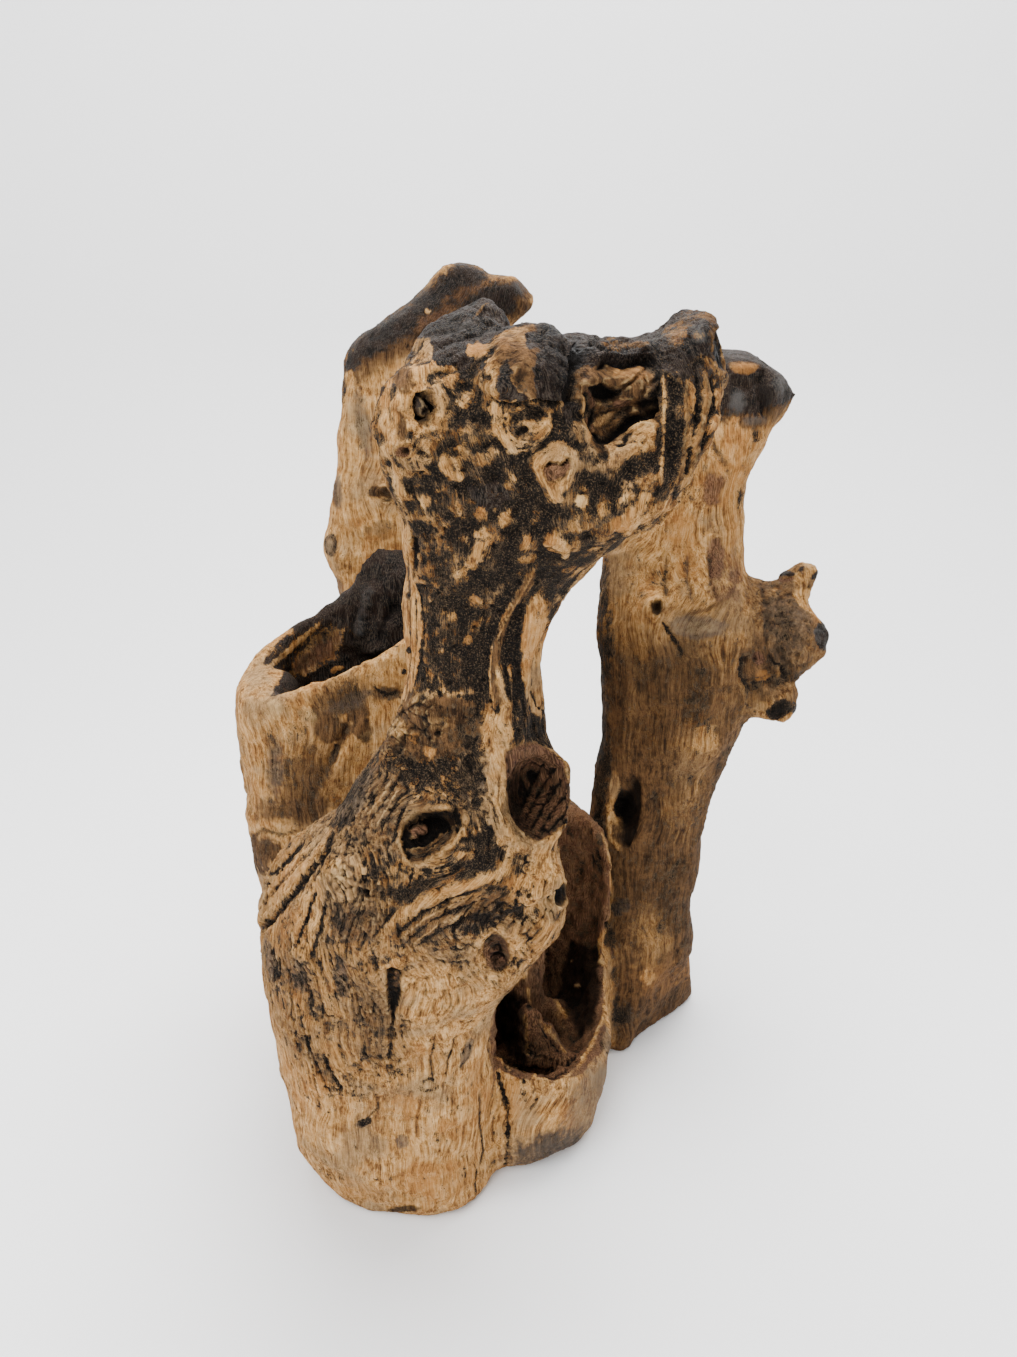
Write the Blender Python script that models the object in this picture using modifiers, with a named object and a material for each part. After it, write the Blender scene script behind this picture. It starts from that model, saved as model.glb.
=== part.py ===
"""A driftwood centerpiece: a gnarled root crown with a hollow in it, and the limbs that rise from it.

All sizes are in millimetres and are turned to metres once, where the shapes are made. +Z is up, +X is to the
right of a person who looks at the front, -Y is towards that person, and the origin is on the table, under
the crown.

The wood is grown in four steps. Limbs, knuckles and broken stubs are made as separate closed shapes and fused
into one skin. The hollows are carved out of it. The skin is reduced to large facets. Last it is sawn at its
main forks, so that each limb is a solid of its own.
"""

import math
from collections import namedtuple

import bmesh
import bpy
from mathutils import Euler, Matrix, Vector

MM = 0.001

# Driving dimensions, in millimetres.
KERF = 0.3
SKIN_VOXEL = 2.2
SLICE_STEP = 5.0
WELD = 0.001
BROAD_LUMP_SIZE = 34.0
BROAD_LUMP_HEIGHT = 2.6

# How finely the shapes are made.
RING_POINTS = 40
EGG_SEGMENTS = 20
EGG_RINGS = 12
BRANCH_SIDES = 4
BRANCH_STEPS = 6
ROUNDING_FACTOR = 0.5
CROWN_ROUNDING_PASSES = 3
WOOD_ROUNDING_PASSES = 5
FACETS = 7600

# The cross-section of a limb is between an ellipse, at 2, and a rectangle, at a high number. It is fluted
# by a few waves: how many go round it, and how far each turns over a millimetre of height, in radians.
SQUARENESS = 2.3
FLUTE_WAVES = ((3, 0.011), (5, -0.017), (7, 0.023))

# Where the flutes of each limb start, in radians, and how deep they are as a share of the radius.
FLUTES = {
    "front_limb": (1.0, 0.05),
    "right_limb": (2.1, 0.08),
    "tall_limb": (3.4, 0.09),
    "stump": (4.2, 0.03),
    "stump_hollow": (1.7, 0.04),
    "crown": (5.3, 0.04),
    "bowl": (0.4, 0.03),
    "bowl_hollow": (0.9, 0.04),
}

# A slice is one level cut through an upright limb: its height, and how far it reaches to the left, the
# right, the front and the back.
Slice = namedtuple("Slice", "height left right front back")
# A joint is one point of a swept branch: its place and the radius of the branch there.
Joint = namedtuple("Joint", "x y z radius")

FRONT_LIMB = (
    Slice(-6, -76, -12, -76, -20),
    Slice(4, -86, -7, -84, -14),
    Slice(20, -95, -5, -88, -12),
    Slice(40, -99, -5, -89, -12),
    Slice(70, -101, -6, -89, -14),
    Slice(100, -101, -5, -90, -21),
    Slice(120, -101, 3, -93, -24),
    Slice(140, -99, 15, -97, -27),
    Slice(155, -94, 20, -101, -30),
    Slice(170, -88, 21, -104, -33),
    Slice(185, -80, 19, -106, -33),
    Slice(200, -68, 18, -106, -38),
    Slice(215, -58, 19, -102, -42),
    Slice(230, -49, 17, -97, -46),
    Slice(245, -42, 12, -92, -48),
    Slice(262, -37, 10, -90, -50),
    Slice(282, -36, 12, -90, -50),
    Slice(298, -36, 20, -93, -47),
    Slice(312, -36, 33, -98, -42),
    Slice(325, -37, 47, -103, -38),
    Slice(340, -39, 56, -107, -34),
    Slice(355, -39, 59, -107, -34),
    Slice(367, -34, 56, -101, -38),
    Slice(376, -26, 46, -92, -46),
)

RIGHT_LIMB = (
    Slice(-6, 50, 103, 14, 86),
    Slice(6, 49, 104, 14, 92),
    Slice(30, 48, 100, 18, 92),
    Slice(60, 45, 97, 20, 88),
    Slice(90, 42, 96, 24, 84),
    Slice(125, 41, 99, 26, 82),
    Slice(160, 44, 106, 24, 84),
    Slice(190, 46, 114, 19, 87),
    Slice(220, 44, 118, 17, 89),
    Slice(245, 42, 115, 19, 88),
    Slice(265, 44, 108, 26, 87),
    Slice(285, 50, 107, 32, 88),
    Slice(302, 56, 109, 36, 90),
    Slice(318, 62, 115, 39, 92),
    Slice(332, 68, 118, 40, 90),
    Slice(345, 74, 115, 42, 86),
    Slice(355, 82, 106, 48, 78),
)

TALL_LIMB = (
    Slice(-6, -86, -20, 72, 118),
    Slice(6, -94, -12, 60, 128),
    Slice(40, -92, -10, 60, 131),
    Slice(80, -88, -14, 64, 126),
    Slice(130, -84, -20, 70, 118),
    Slice(180, -83, -26, 74, 118),
    Slice(225, -85, -26, 74, 124),
    Slice(250, -88, -20, 72, 132),
    Slice(272, -88, -14, 71, 136),
    Slice(295, -84, -10, 72, 134),
    Slice(320, -80, -8, 74, 130),
    Slice(338, -78, -6, 76, 127),
    Slice(350, -75, -4, 78, 125),
    Slice(360, -64, -2, 80, 122),
    Slice(370, -50, -2, 83, 118),
    Slice(380, -37, -6, 87, 114),
    Slice(389, -28, -14, 91, 107),
)

STUMP = (
    Slice(-6, -104, -40, 8, 54),
    Slice(6, -112, -34, -2, 62),
    Slice(50, -118, -32, -6, 66),
    Slice(100, -122, -30, -8, 66),
    Slice(130, -124, -29, -10, 64),
    Slice(165, -123, -28, -11, 61),
    Slice(190, -123, -26, -11, 60),
    Slice(212, -122, -24, -11, 59),
    Slice(232, -118, -22, -10, 58),
    Slice(262, -112, -20, -9, 58),
    Slice(300, -108, -18, -8, 58),
)

CROWN = (
    Slice(-6, -98, 48, -30, 104),
    Slice(4, -106, 54, -38, 112),
    Slice(30, -108, 56, -40, 114),
    Slice(55, -104, 54, -38, 110),
    Slice(75, -94, 48, -28, 102),
    Slice(92, -80, 38, -12, 88),
)

BOWL = (
    Slice(-6, -34, 32, -48, 22),
    Slice(4, -42, 42, -58, 34),
    Slice(18, -46, 45, -64, 42),
    Slice(36, -46, 47, -62, 46),
    Slice(56, -42, 50, -56, 48),
    Slice(72, -38, 51, -48, 48),
    Slice(95, -34, 51, -42, 48),
    Slice(118, -22, 50, -32, 46),
    Slice(134, -8, 47, -24, 42),
    Slice(146, 6, 40, -14, 36),
)

# The hollow of the bowl. It is open to the front above the lip.
BOWL_HOLLOW = (
    Slice(30, -8, 24, -30, 14),
    Slice(38, -22, 36, -42, 24),
    Slice(50, -24, 41, -48, 28),
    Slice(60, -20, 44, -50, 30),
    Slice(67, -14, 53, -78, 32),
    Slice(82, -8, 52, -88, 33),
    Slice(100, -5, 52, -92, 34),
    Slice(120, -2, 52, -92, 33),
    Slice(145, 6, 46, -90, 28),
    Slice(165, 10, 42, -90, 24),
)

STUMP_HOLLOW = (
    Slice(140, -88, -58, 14, 36),
    Slice(158, -100, -46, 4, 44),
    Slice(185, -109, -38, -2, 49),
    Slice(212, -112, -33, -4, 50),
    Slice(240, -111, -30, -3, 50),
    Slice(320, -110, -28, -2, 50),
)

# Places named on the wood, as a centre and three radii, with a turn about X, Y and Z in degrees.
SWELLINGS = (
    ((-23, -86, 352), (17, 20, 22), (0, 0, 0)),
    ((-28, -84, 338), (11, 15, 12), (0, 0, 0)),
    ((22, -92, 331), (20, 16, 13), (0, -20, 0)),
    ((38, -86, 336), (14, 18, 14), (0, -30, 0)),
    ((-6, -92, 342), (20, 14, 18), (0, 0, 0)),
    ((6, -94, 354), (10, 13, 11), (0, 0, 0)),
    ((14, -95, 346), (9, 13, 9), (0, 0, 0)),
    ((-38, -82, 235), (8, 10, 9), (0, 0, 0)),
    ((-59, -86, 193), (13, 13, 12), (0, 0, 0)),
    ((6, -88, 224), (18, 19, 21), (0, 0, 0)),
    ((4, -74, 170), (19, 26, 24), (0, 0, 0)),
    ((-6, -82, 152), (15, 16, 16), (0, 0, 0)),
    ((-106, 14, 210), (13, 20, 14), (0, 0, 0)),
    ((-108, 16, 140), (15, 18, 20), (0, 0, 0)),
    ((-80, 90, 257), (11, 16, 15), (0, 0, 0)),
    ((104, 38, 224), (16, 16, 16), (0, 0, 0)),
    ((102, 55, 242), (18, 20, 15), (0, 0, 0)),
    ((60, 28, 8), (10, 13, 20), (0, 0, 0)),
    ((106, 55, 221), (36, 27, 35), (0, 0, 0)),
    ((129, 54, 227), (16, 20, 24), (0, 0, 0)),
    ((66, 30, 240), (15, 13, 20), (0, 0, 0)),
    ((-60, 104, 60), (40, 34, 60), (0, 0, 0)),
    ((10, 76, 60), (44, 34, 52), (0, 0, 0)),
)

# Broken stubs and ridges, each a swept branch.
BRANCHES = (
    ("spur_nub", (Joint(128, 55, 240, 12), Joint(136, 55, 254, 8), Joint(138, 55, 262, 5))),
    ("spur_tip", (Joint(130, 50, 226, 20), Joint(143, 50, 225, 14), Joint(148, 50, 224, 9))),
    ("cut_stub", (Joint(98, 44, 210, 16), Joint(118, 36, 203, 11), Joint(131, 28, 203, 9))),
    ("horn_rib", (Joint(61, -80, 370, 7), Joint(55, -89, 350, 8), Joint(42, -94, 332, 8))),
    ("side_rib", (Joint(64, -66, 374, 8), Joint(60, -72, 352, 8), Joint(46, -76, 330, 8))),
    ("tall_knob", (Joint(-16, 96, 370, 14), Joint(0, 94, 374, 11), Joint(6, 92, 378, 10))),
    ("torn_edge", (
        Joint(-62, -56, 184, 16), Joint(-83, -44, 160, 16), Joint(-96, -38, 138, 14), Joint(-90, -40, 100, 15),
    )),
    ("neck_rib", (
        Joint(9, -84, 308, 8), Joint(5, -87, 286, 7), Joint(-2, -89, 262, 7), Joint(-2, -92, 236, 9),
    )),
    ("shoulder_band", (Joint(-52, -94, 162, 9), Joint(-16, -98, 184, 9), Joint(16, -90, 198, 10))),
    ("back_root", (
        Joint(-28, 98, 160, 20), Joint(2, 96, 104, 29), Joint(40, 86, 62, 28), Joint(70, 66, 16, 26),
    )),
    ("web", (Joint(-70, 66, 238, 14), Joint(-62, 62, 180, 22), Joint(-60, 62, 90, 30))),
    ("left_web", (Joint(-78, -8, 150, 12), Joint(-72, -10, 110, 22), Joint(-66, -12, 50, 28))),
    ("inner_column", (Joint(2, 2, 30, 12), Joint(5, 2, 70, 13), Joint(6, 0, 112, 13))),
    ("left_flare", (Joint(-80, 94, 120, 16), Joint(-86, 96, 50, 22), Joint(-90, 98, -6, 25))),
)

# Broken ends and splinters, each the hull of the points given.
SPLINTERS = (
    ("snout", (
        (4, -92, 385), (13, -92, 385), (19, -98, 376), (17, -107, 367), (-7, -109, 366), (-11, -102, 374),
        (-4, -100, 381), (3, -110, 378), (4, -80, 386), (12, -80, 386), (-10, -84, 376), (19, -82, 376),
        (4, -84, 360),
    )),
    ("plateau", (
        (-30, -84, 370), (-27, -70, 380), (-31, -60, 374), (-20, -92, 375), (-5, -92, 377), (0, -62, 382),
        (-22, -52, 381), (-13, -50, 386), (-7, -53, 389), (-1, -57, 386), (-20, -70, 350), (0, -74, 352),
    )),
    ("cap_corner", (
        (84, 44, 350), (104, 44, 354), (116, 48, 348), (127, 56, 338), (126, 66, 336), (112, 74, 350),
        (90, 74, 354), (112, 44, 336), (118, 60, 322), (92, 60, 326),
    )),
    ("horn", (
        (38, -84, 372), (40, -58, 373), (48, -88, 378), (60, -86, 385), (65, -80, 384), (66, -58, 385),
        (56, -56, 387), (67, -84, 366), (67, -60, 366), (56, -94, 352), (46, -98, 362), (54, -58, 346),
        (36, -64, 352),
    )),
    ("stump_peak", (
        (-64, 54, 277), (-49, 56, 272), (-53, 44, 264), (-76, 52, 249), (-84, 48, 226), (-38, 54, 264),
        (-34, 44, 232), (-62, 38, 222), (-60, 58, 210), (-40, 58, 210),
    )),
)

# The block that cuts the wood off flat underneath: its centre and size.
TABLE = ((0, 0, -50), (600, 600, 100))

# Splinters that stand free inside the bowl.
HOLLOW_SPLINTERS = (
    ("tall_shard", (
        (5, -24, 79), (11, -25, 77), (4, -30, 70), (21, -30, 58), (34, -34, 44), (32, -26, 38), (8, -36, 42),
        (3, -30, 40), (4, -18, 38), (24, -18, 36),
    )),
    ("low_shard", (
        (20, -2, 57), (17, 2, 52), (25, 4, 50), (8, -4, 34), (36, -4, 36), (30, 16, 34), (12, 16, 34),
    )),
)

# The mouth of the bowl: the hull that is cut away in front, down to the lip.
MOUTH = (
    (66, 8, 62), (58, -30, 46), (34, -76, 47), (-16, -76, 62), (-16, -20, 66), (66, 8, 180), (58, -90, 180),
    (-16, -90, 180), (-16, -20, 180),
)

# The block that takes the top off the stump: its centre, size and turn in degrees.
SLANTED_CUT = ((-100, 8, 293), (240, 240, 120), (11.8, -25.5, 0))

# The block that shaves the right limb's foot to a slanting line: its centre, size and turn in degrees.
FOOT_CUT = ((92, 21.7, -3.8), (130, 40, 100), (11, 0, 43.3))

# Holes, each an egg-shaped cutter: a centre, three radii and a turn in degrees.
HOLES = (
    ("cup_hole", (11, -98, 228), (13.5, 18, 17.5), (0, 0, 20)),
    ("eye_hole", (-27, -105, 217), (10.5, 14, 7.5), (0, -25, 0)),
    ("rotted_cavity", (31, -104, 362), (12, 14, 13), (0, 0, 0)),
    ("knot_hole", (-25, -101, 361), (4.5, 11, 6), (0, 0, -30)),
    ("limb_hole", (56, 32, 144), (4.5, 14, 14), (0, 0, 0)),
    ("rim_notch", (53, 2, 86), (9, 16, 8), (0, 0, 0)),
    ("peg_hole", (-3.5, -102, 159), (5.5, 11, 8.5), (0, 0, 0)),
    ("slot", (-43.5, -99, 137), (2.6, 11, 11), (0, 0, 0)),
)

# The saw cuts between the limbs: a centre, a size and a turn in degrees. The smallest size is the kerf.
SAW_CUTS = (
    ("trunk_level", (-50, -62, 95), (162, 104, KERF), (0, 0, 0)),
    ("back_level", (-67, 70, 97), (128, 172, KERF), (0, 0, 0)),
    ("trunk_back", (-50, -17, 170), (164, KERF, 154), (3, 0, 0)),
    ("wall_side", (-5, 68, 148), (KERF, 174, 106), (0, 0, 0)),
    ("tall_front", (-68, 67, 190), (127, KERF, 190), (0, 0, 0)),
    ("right_side", (46, 34, 76), (KERF, 200, 200), (0, 0, 25)),
    ("spur_side", (108, 50, 222), (KERF, 120, 110), (0, 0, 0)),
)

# The solids: a name, a point on the wood of each, and its colour and roughness.
NODES = (
    ("root_crown", (-60, -88, 50), (0.46, 0.31, 0.17), 0.72),
    ("front_limb", (-14, -98, 313), (0.20, 0.14, 0.10), 0.74),
    ("hollow_stump", (-90, -12, 180), (0.42, 0.29, 0.17), 0.76),
    ("tall_limb", (-66, 75, 310), (0.50, 0.36, 0.21), 0.74),
    ("right_limb", (84, 20, 240), (0.30, 0.20, 0.12), 0.70),
    ("side_spur", (146, 42, 234), (0.26, 0.19, 0.13), 0.72),
)


def smooth_between(before, a, b, after, t):
    """The value at t of a Catmull-Rom curve from a to b."""
    return 0.5 * (
        2 * a
        + (b - before) * t
        + (2 * before - 5 * a + 4 * b - after) * t * t
        + (3 * a - before - 3 * b + after) * t * t * t
    )


def filled_in(slices):
    """The slices with a smooth curve of more slices between them."""
    rows = []
    for i in range(len(slices) - 1):
        near = [slices[max(0, min(len(slices) - 1, i + k))] for k in (-1, 0, 1, 2)]
        count = max(1, round(abs(slices[i + 1].height - slices[i].height) / SLICE_STEP))
        for k in range(count):
            rows.append(Slice(*[smooth_between(*values, k / count) for values in zip(*near)]))
    rows.append(slices[-1])
    return rows


def new_object(name, bm):
    """An object in the scene with the faces of bm."""
    bmesh.ops.recalc_face_normals(bm, faces=bm.faces)
    mesh = bpy.data.meshes.new(name)
    bm.to_mesh(mesh)
    bm.free()
    obj = bpy.data.objects.new(name, mesh)
    bpy.context.scene.collection.objects.link(obj)
    return obj


def limb(name, slices):
    """A closed loft through level slices: rounded ovals whose flutes turn slowly as they climb."""
    start, depth = FLUTES[name]
    bm = bmesh.new()
    rings = []
    for height, left, right, front, back in filled_in(slices):
        centre = Vector(((left + right) / 2, (front + back) / 2, height))
        ring = []
        for k in range(RING_POINTS):
            angle = 2 * math.pi * k / RING_POINTS
            c, s = math.cos(angle), math.sin(angle)
            oval = (abs(c) ** SQUARENESS + abs(s) ** SQUARENESS) ** (-1 / SQUARENESS)
            flutes = sum(
                math.cos(count * (angle + start) + height * twist) / (count - 1)
                for count, twist in FLUTE_WAVES
            )
            reach = oval * (1 + depth * flutes)
            offset = Vector(((right - left) / 2 * reach * c, (back - front) / 2 * reach * s, 0))
            ring.append(bm.verts.new((centre + offset) * MM))
        rings.append(ring)
    for below, above in zip(rings, rings[1:]):
        for k in range(RING_POINTS):
            j = (k + 1) % RING_POINTS
            bm.faces.new((below[k], below[j], above[j], above[k]))
    bm.faces.new(rings[0])
    bm.faces.new(rings[-1])
    return new_object(name, bm)


def egg(name, centre, radii, turn):
    """An egg-shaped closed shape, turned about X, Y and Z by the degrees given."""
    bm = bmesh.new()
    bmesh.ops.create_uvsphere(bm, u_segments=EGG_SEGMENTS, v_segments=EGG_RINGS, radius=MM)
    bm.transform(Matrix.Diagonal((*radii, 1)))
    bm.transform(Euler([math.radians(v) for v in turn]).to_matrix().to_4x4())
    bm.transform(Matrix.Translation(Vector(centre) * MM))
    return new_object(name, bm)


def block(name, centre, size, turn=(0, 0, 0)):
    """A closed box, turned about X, Y and Z by the degrees given."""
    bm = bmesh.new()
    bmesh.ops.create_cube(bm, size=MM)
    bm.transform(Matrix.Diagonal((*size, 1)))
    bm.transform(Euler([math.radians(v) for v in turn]).to_matrix().to_4x4())
    bm.transform(Matrix.Translation(Vector(centre) * MM))
    return new_object(name, bm)


def branch(name, joints):
    """A closed sweep: a smooth curve with a radius at each joint and filled ends."""
    curve = bpy.data.curves.new(name, "CURVE")
    curve.dimensions = "3D"
    curve.bevel_depth = MM
    curve.bevel_resolution = BRANCH_SIDES
    curve.use_fill_caps = True
    spline = curve.splines.new("NURBS")
    spline.points.add(len(joints) - 1)
    spline.use_endpoint_u = True
    spline.order_u = 3
    spline.resolution_u = BRANCH_STEPS
    for point, joint in zip(spline.points, joints):
        point.co = (joint.x * MM, joint.y * MM, joint.z * MM, 1)
        point.radius = joint.radius
    swept = bpy.data.objects.new(name, curve)
    bpy.context.scene.collection.objects.link(swept)
    return applied(swept)


def applied(obj):
    """A mesh object in the place of obj, with its modifiers applied and its seams welded."""
    graph = bpy.context.evaluated_depsgraph_get()
    bm = bmesh.new()
    mesh = bpy.data.meshes.new_from_object(obj.evaluated_get(graph))
    bm.from_mesh(mesh)
    bpy.data.meshes.remove(mesh)
    bmesh.ops.remove_doubles(bm, verts=bm.verts, dist=WELD * MM)
    name = obj.name
    bpy.data.objects.remove(obj)
    return new_object(name, bm)


def joined(name, objects):
    """One object with the faces of all the objects, which are removed."""
    bm = bmesh.new()
    for obj in objects:
        bm.from_mesh(obj.data)
        bpy.data.objects.remove(obj)
    return new_object(name, bm)


def add(obj, kind, **settings):
    """A new modifier on obj with the settings given."""
    modifier = obj.modifiers.new(kind.title(), kind)
    for key, value in settings.items():
        setattr(modifier, key, value)
    return modifier


def fused(name, objects, rounding):
    """One skin round all the objects, with its creases rounded by the number of passes given."""
    obj = joined(name, objects)
    add(obj, "REMESH", mode="VOXEL", voxel_size=SKIN_VOXEL * MM)
    add(obj, "SMOOTH", factor=ROUNDING_FACTOR, iterations=rounding)
    return applied(obj)


def hull(name, points):
    """The convex hull of the points, as a closed shape."""
    bm = bmesh.new()
    for point in points:
        bm.verts.new(Vector(point) * MM)
    made = bmesh.ops.convex_hull(bm, input=bm.verts)
    bmesh.ops.delete(bm, geom=made["geom_interior"], context="VERTS")
    return new_object(name, bm)


def carve(obj, cutters):
    """Subtract each cutter from obj. The cutters are kept as wires in a collection of their own."""
    shelf = bpy.data.collections.get("cutters") or bpy.data.collections.new("cutters")
    if shelf.name not in bpy.context.scene.collection.children:
        bpy.context.scene.collection.children.link(shelf)
    for cutter in cutters:
        cutter.hide_render = True
        cutter.display_type = "WIRE"
        bpy.context.scene.collection.objects.unlink(cutter)
        shelf.objects.link(cutter)
        add(obj, "BOOLEAN", object=cutter, operation="DIFFERENCE", solver="EXACT")
    return applied(obj)


def lumpy(obj, size, height):
    """Raise and sink the skin by a cloud pattern of the size and height given."""
    texture = bpy.data.textures.new("lumps", "CLOUDS")
    texture.noise_scale = size * MM
    texture.noise_depth = 1
    add(obj, "DISPLACE", texture=texture, texture_coords="LOCAL", strength=height * MM * 2, mid_level=0.5)
    return applied(obj)


def driftwood():
    """The whole of the wood as one faceted skin, flat underneath."""
    crown = fused("crown", [limb("crown", CROWN), limb("bowl", BOWL)], CROWN_ROUNDING_PASSES)
    crown = carve(crown, [limb("bowl_hollow", BOWL_HOLLOW), hull("mouth", MOUTH)])
    stump = carve(limb("stump", STUMP), [block("slanted_cut", *SLANTED_CUT)])
    stump = carve(stump, [limb("stump_hollow", STUMP_HOLLOW)])
    right_limb = carve(limb("right_limb", RIGHT_LIMB), [block("foot_cut", *FOOT_CUT)])
    parts = [crown, stump, right_limb, limb("front_limb", FRONT_LIMB), limb("tall_limb", TALL_LIMB)]
    parts += [branch(name, joints) for name, joints in BRANCHES]
    parts += [egg("swelling", *place) for place in SWELLINGS]
    parts += [hull(name, points) for name, points in SPLINTERS + HOLLOW_SPLINTERS]
    wood = fused("wood", parts, WOOD_ROUNDING_PASSES)
    wood = lumpy(wood, BROAD_LUMP_SIZE, BROAD_LUMP_HEIGHT)
    wood = carve(wood, [egg(name, *place) for name, *place in HOLES])
    add(wood, "TRIANGULATE")
    wood = applied(wood)
    add(wood, "DECIMATE", ratio=FACETS / len(wood.data.polygons))
    return carve(applied(wood), [block("table", *TABLE)])


def islands(obj):
    """The connected sets of vertex indices of obj, largest first."""
    bm = bmesh.new()
    bm.from_mesh(obj.data)
    seen = set()
    found = []
    for start in bm.verts:
        if start.index in seen:
            continue
        seen.add(start.index)
        waiting = [start]
        members = []
        while waiting:
            vert = waiting.pop()
            members.append(vert.index)
            for edge in vert.link_edges:
                other = edge.other_vert(vert)
                if other.index not in seen:
                    seen.add(other.index)
                    waiting.append(other)
        found.append(members)
    bm.free()
    return sorted(found, key=len, reverse=True)


def only(obj, name, keep):
    """A copy of obj that has only the vertices in keep."""
    bm = bmesh.new()
    bm.from_mesh(obj.data)
    keep = set(keep)
    bmesh.ops.delete(bm, geom=[v for v in bm.verts if v.index not in keep], context="VERTS")
    return new_object(name, bm)


def finish(colour, roughness, name):
    """A plain material for one solid."""
    material = bpy.data.materials.new(name)
    material.use_nodes = True
    shader = material.node_tree.nodes["Principled BSDF"]
    shader.inputs["Base Color"].default_value = (*colour, 1)
    shader.inputs["Roughness"].default_value = roughness
    return material


def build():
    """Make the wood, saw it at its forks and give each limb its name and material."""
    for obj in list(bpy.data.objects):
        bpy.data.objects.remove(obj)
    wood = driftwood()
    wood = carve(wood, [block(name, *place) for name, *place in SAW_CUTS])
    parts = bpy.data.collections.new("driftwood_centerpiece")
    bpy.context.scene.collection.children.link(parts)
    pieces = islands(wood)
    for name, place, colour, roughness in NODES:
        spot = Vector(place) * MM
        nearest = min(wood.data.vertices, key=lambda vert: (vert.co - spot).length).index
        solid = only(wood, name, next(piece for piece in pieces if nearest in piece))
        solid.data.materials.append(finish(colour, roughness, name))
        solid.data.shade_smooth()
        bpy.context.scene.collection.objects.unlink(solid)
        parts.objects.link(solid)
    bpy.data.objects.remove(wood)


build()
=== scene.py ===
"""The looks of a driftwood centerpiece.

The sawn solids are wrapped in one continuous skin, so that the wood shows no saw lines. The skin is carved as a
carver would: knots, holes, cracks, ribs and torn edges are pressed into it or raised from it, and fibres run
along its grain. Its stains are kept on its vertices, and one weathered wood finish reads them. Shade is painted
into the colour as well: cracks, holes, grooves and hollows are darkened, and a few highlights, glints and the
sheen on the char are painted pale or grey. Last the skin is parted at the forks, and each piece stands for a solid.

Sizes are in millimetres until a mesh is written. A place on the front is named by its pixel in a photograph
1017 pixels wide and 1357 high, and is found by looking along that pixel's ray. A place on another side is
named by the direction that it is looked at from.
"""

from __future__ import annotations

import logging
import math
from dataclasses import dataclass, field
from enum import Enum

import bpy
import numpy as np
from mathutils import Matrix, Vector
from mathutils.bvhtree import BVHTree

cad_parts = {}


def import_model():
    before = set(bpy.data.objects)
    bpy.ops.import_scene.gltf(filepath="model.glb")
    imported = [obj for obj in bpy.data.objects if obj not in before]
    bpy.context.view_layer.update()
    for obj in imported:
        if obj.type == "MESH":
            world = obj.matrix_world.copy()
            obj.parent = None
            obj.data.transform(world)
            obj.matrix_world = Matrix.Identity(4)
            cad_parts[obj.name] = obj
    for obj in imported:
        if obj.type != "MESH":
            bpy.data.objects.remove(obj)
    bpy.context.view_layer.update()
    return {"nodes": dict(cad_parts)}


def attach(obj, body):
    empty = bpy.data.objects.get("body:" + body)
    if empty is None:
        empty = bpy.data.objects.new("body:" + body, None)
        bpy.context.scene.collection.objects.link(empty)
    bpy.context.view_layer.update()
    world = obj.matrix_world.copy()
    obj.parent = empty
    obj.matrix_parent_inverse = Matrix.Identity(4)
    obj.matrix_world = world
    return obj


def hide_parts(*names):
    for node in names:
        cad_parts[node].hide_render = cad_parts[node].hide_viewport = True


log = logging.getLogger("driftwood")

MM = 0.001

Array = np.ndarray


# ---- small helpers


def linear(hex_colour: str) -> tuple[float, float, float, float]:
    """Turn an sRGB hex colour to linear light.

    Args:
        hex_colour: A colour such as "#C9A06B".

    Returns:
        Red, green, blue and an alpha of 1.
    """
    values = [int(hex_colour[i : i + 2], 16) / 255 for i in (1, 3, 5)]
    red, green, blue = (v / 12.92 if v <= 0.04045 else ((v + 0.055) / 1.055) ** 2.4 for v in values)
    return red, green, blue, 1.0


def eased(value: Array) -> Array:
    """Clamp to 0 to 1 and round both ends off."""
    value = np.clip(value, 0, 1)
    return value * value * (3 - 2 * value)


def unit(vector: Array) -> Array:
    """The vector at length 1."""
    return vector / np.linalg.norm(vector)


def add_node(
    tree: bpy.types.NodeTree, kind: str, settings: dict | None = None, links: dict | None = None
) -> bpy.types.Node:
    """Add a shader node with its settings and links.

    Args:
        tree: The node tree.
        kind: The node's type name.
        settings: Values for sockets, by number or name, or for properties of the node.
        links: The output that feeds each socket, by the socket's number or name.

    Returns:
        The new node.
    """
    node = tree.nodes.new(kind)
    for name, value in (settings or {}).items():
        if isinstance(name, str) and hasattr(node, name):
            setattr(node, name, value)
    for name, value in (settings or {}).items():
        if isinstance(name, int) or not hasattr(node, name):
            node.inputs[name].default_value = value
    for name, source in (links or {}).items():
        tree.links.new(source, node.inputs[name])
    return node


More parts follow.
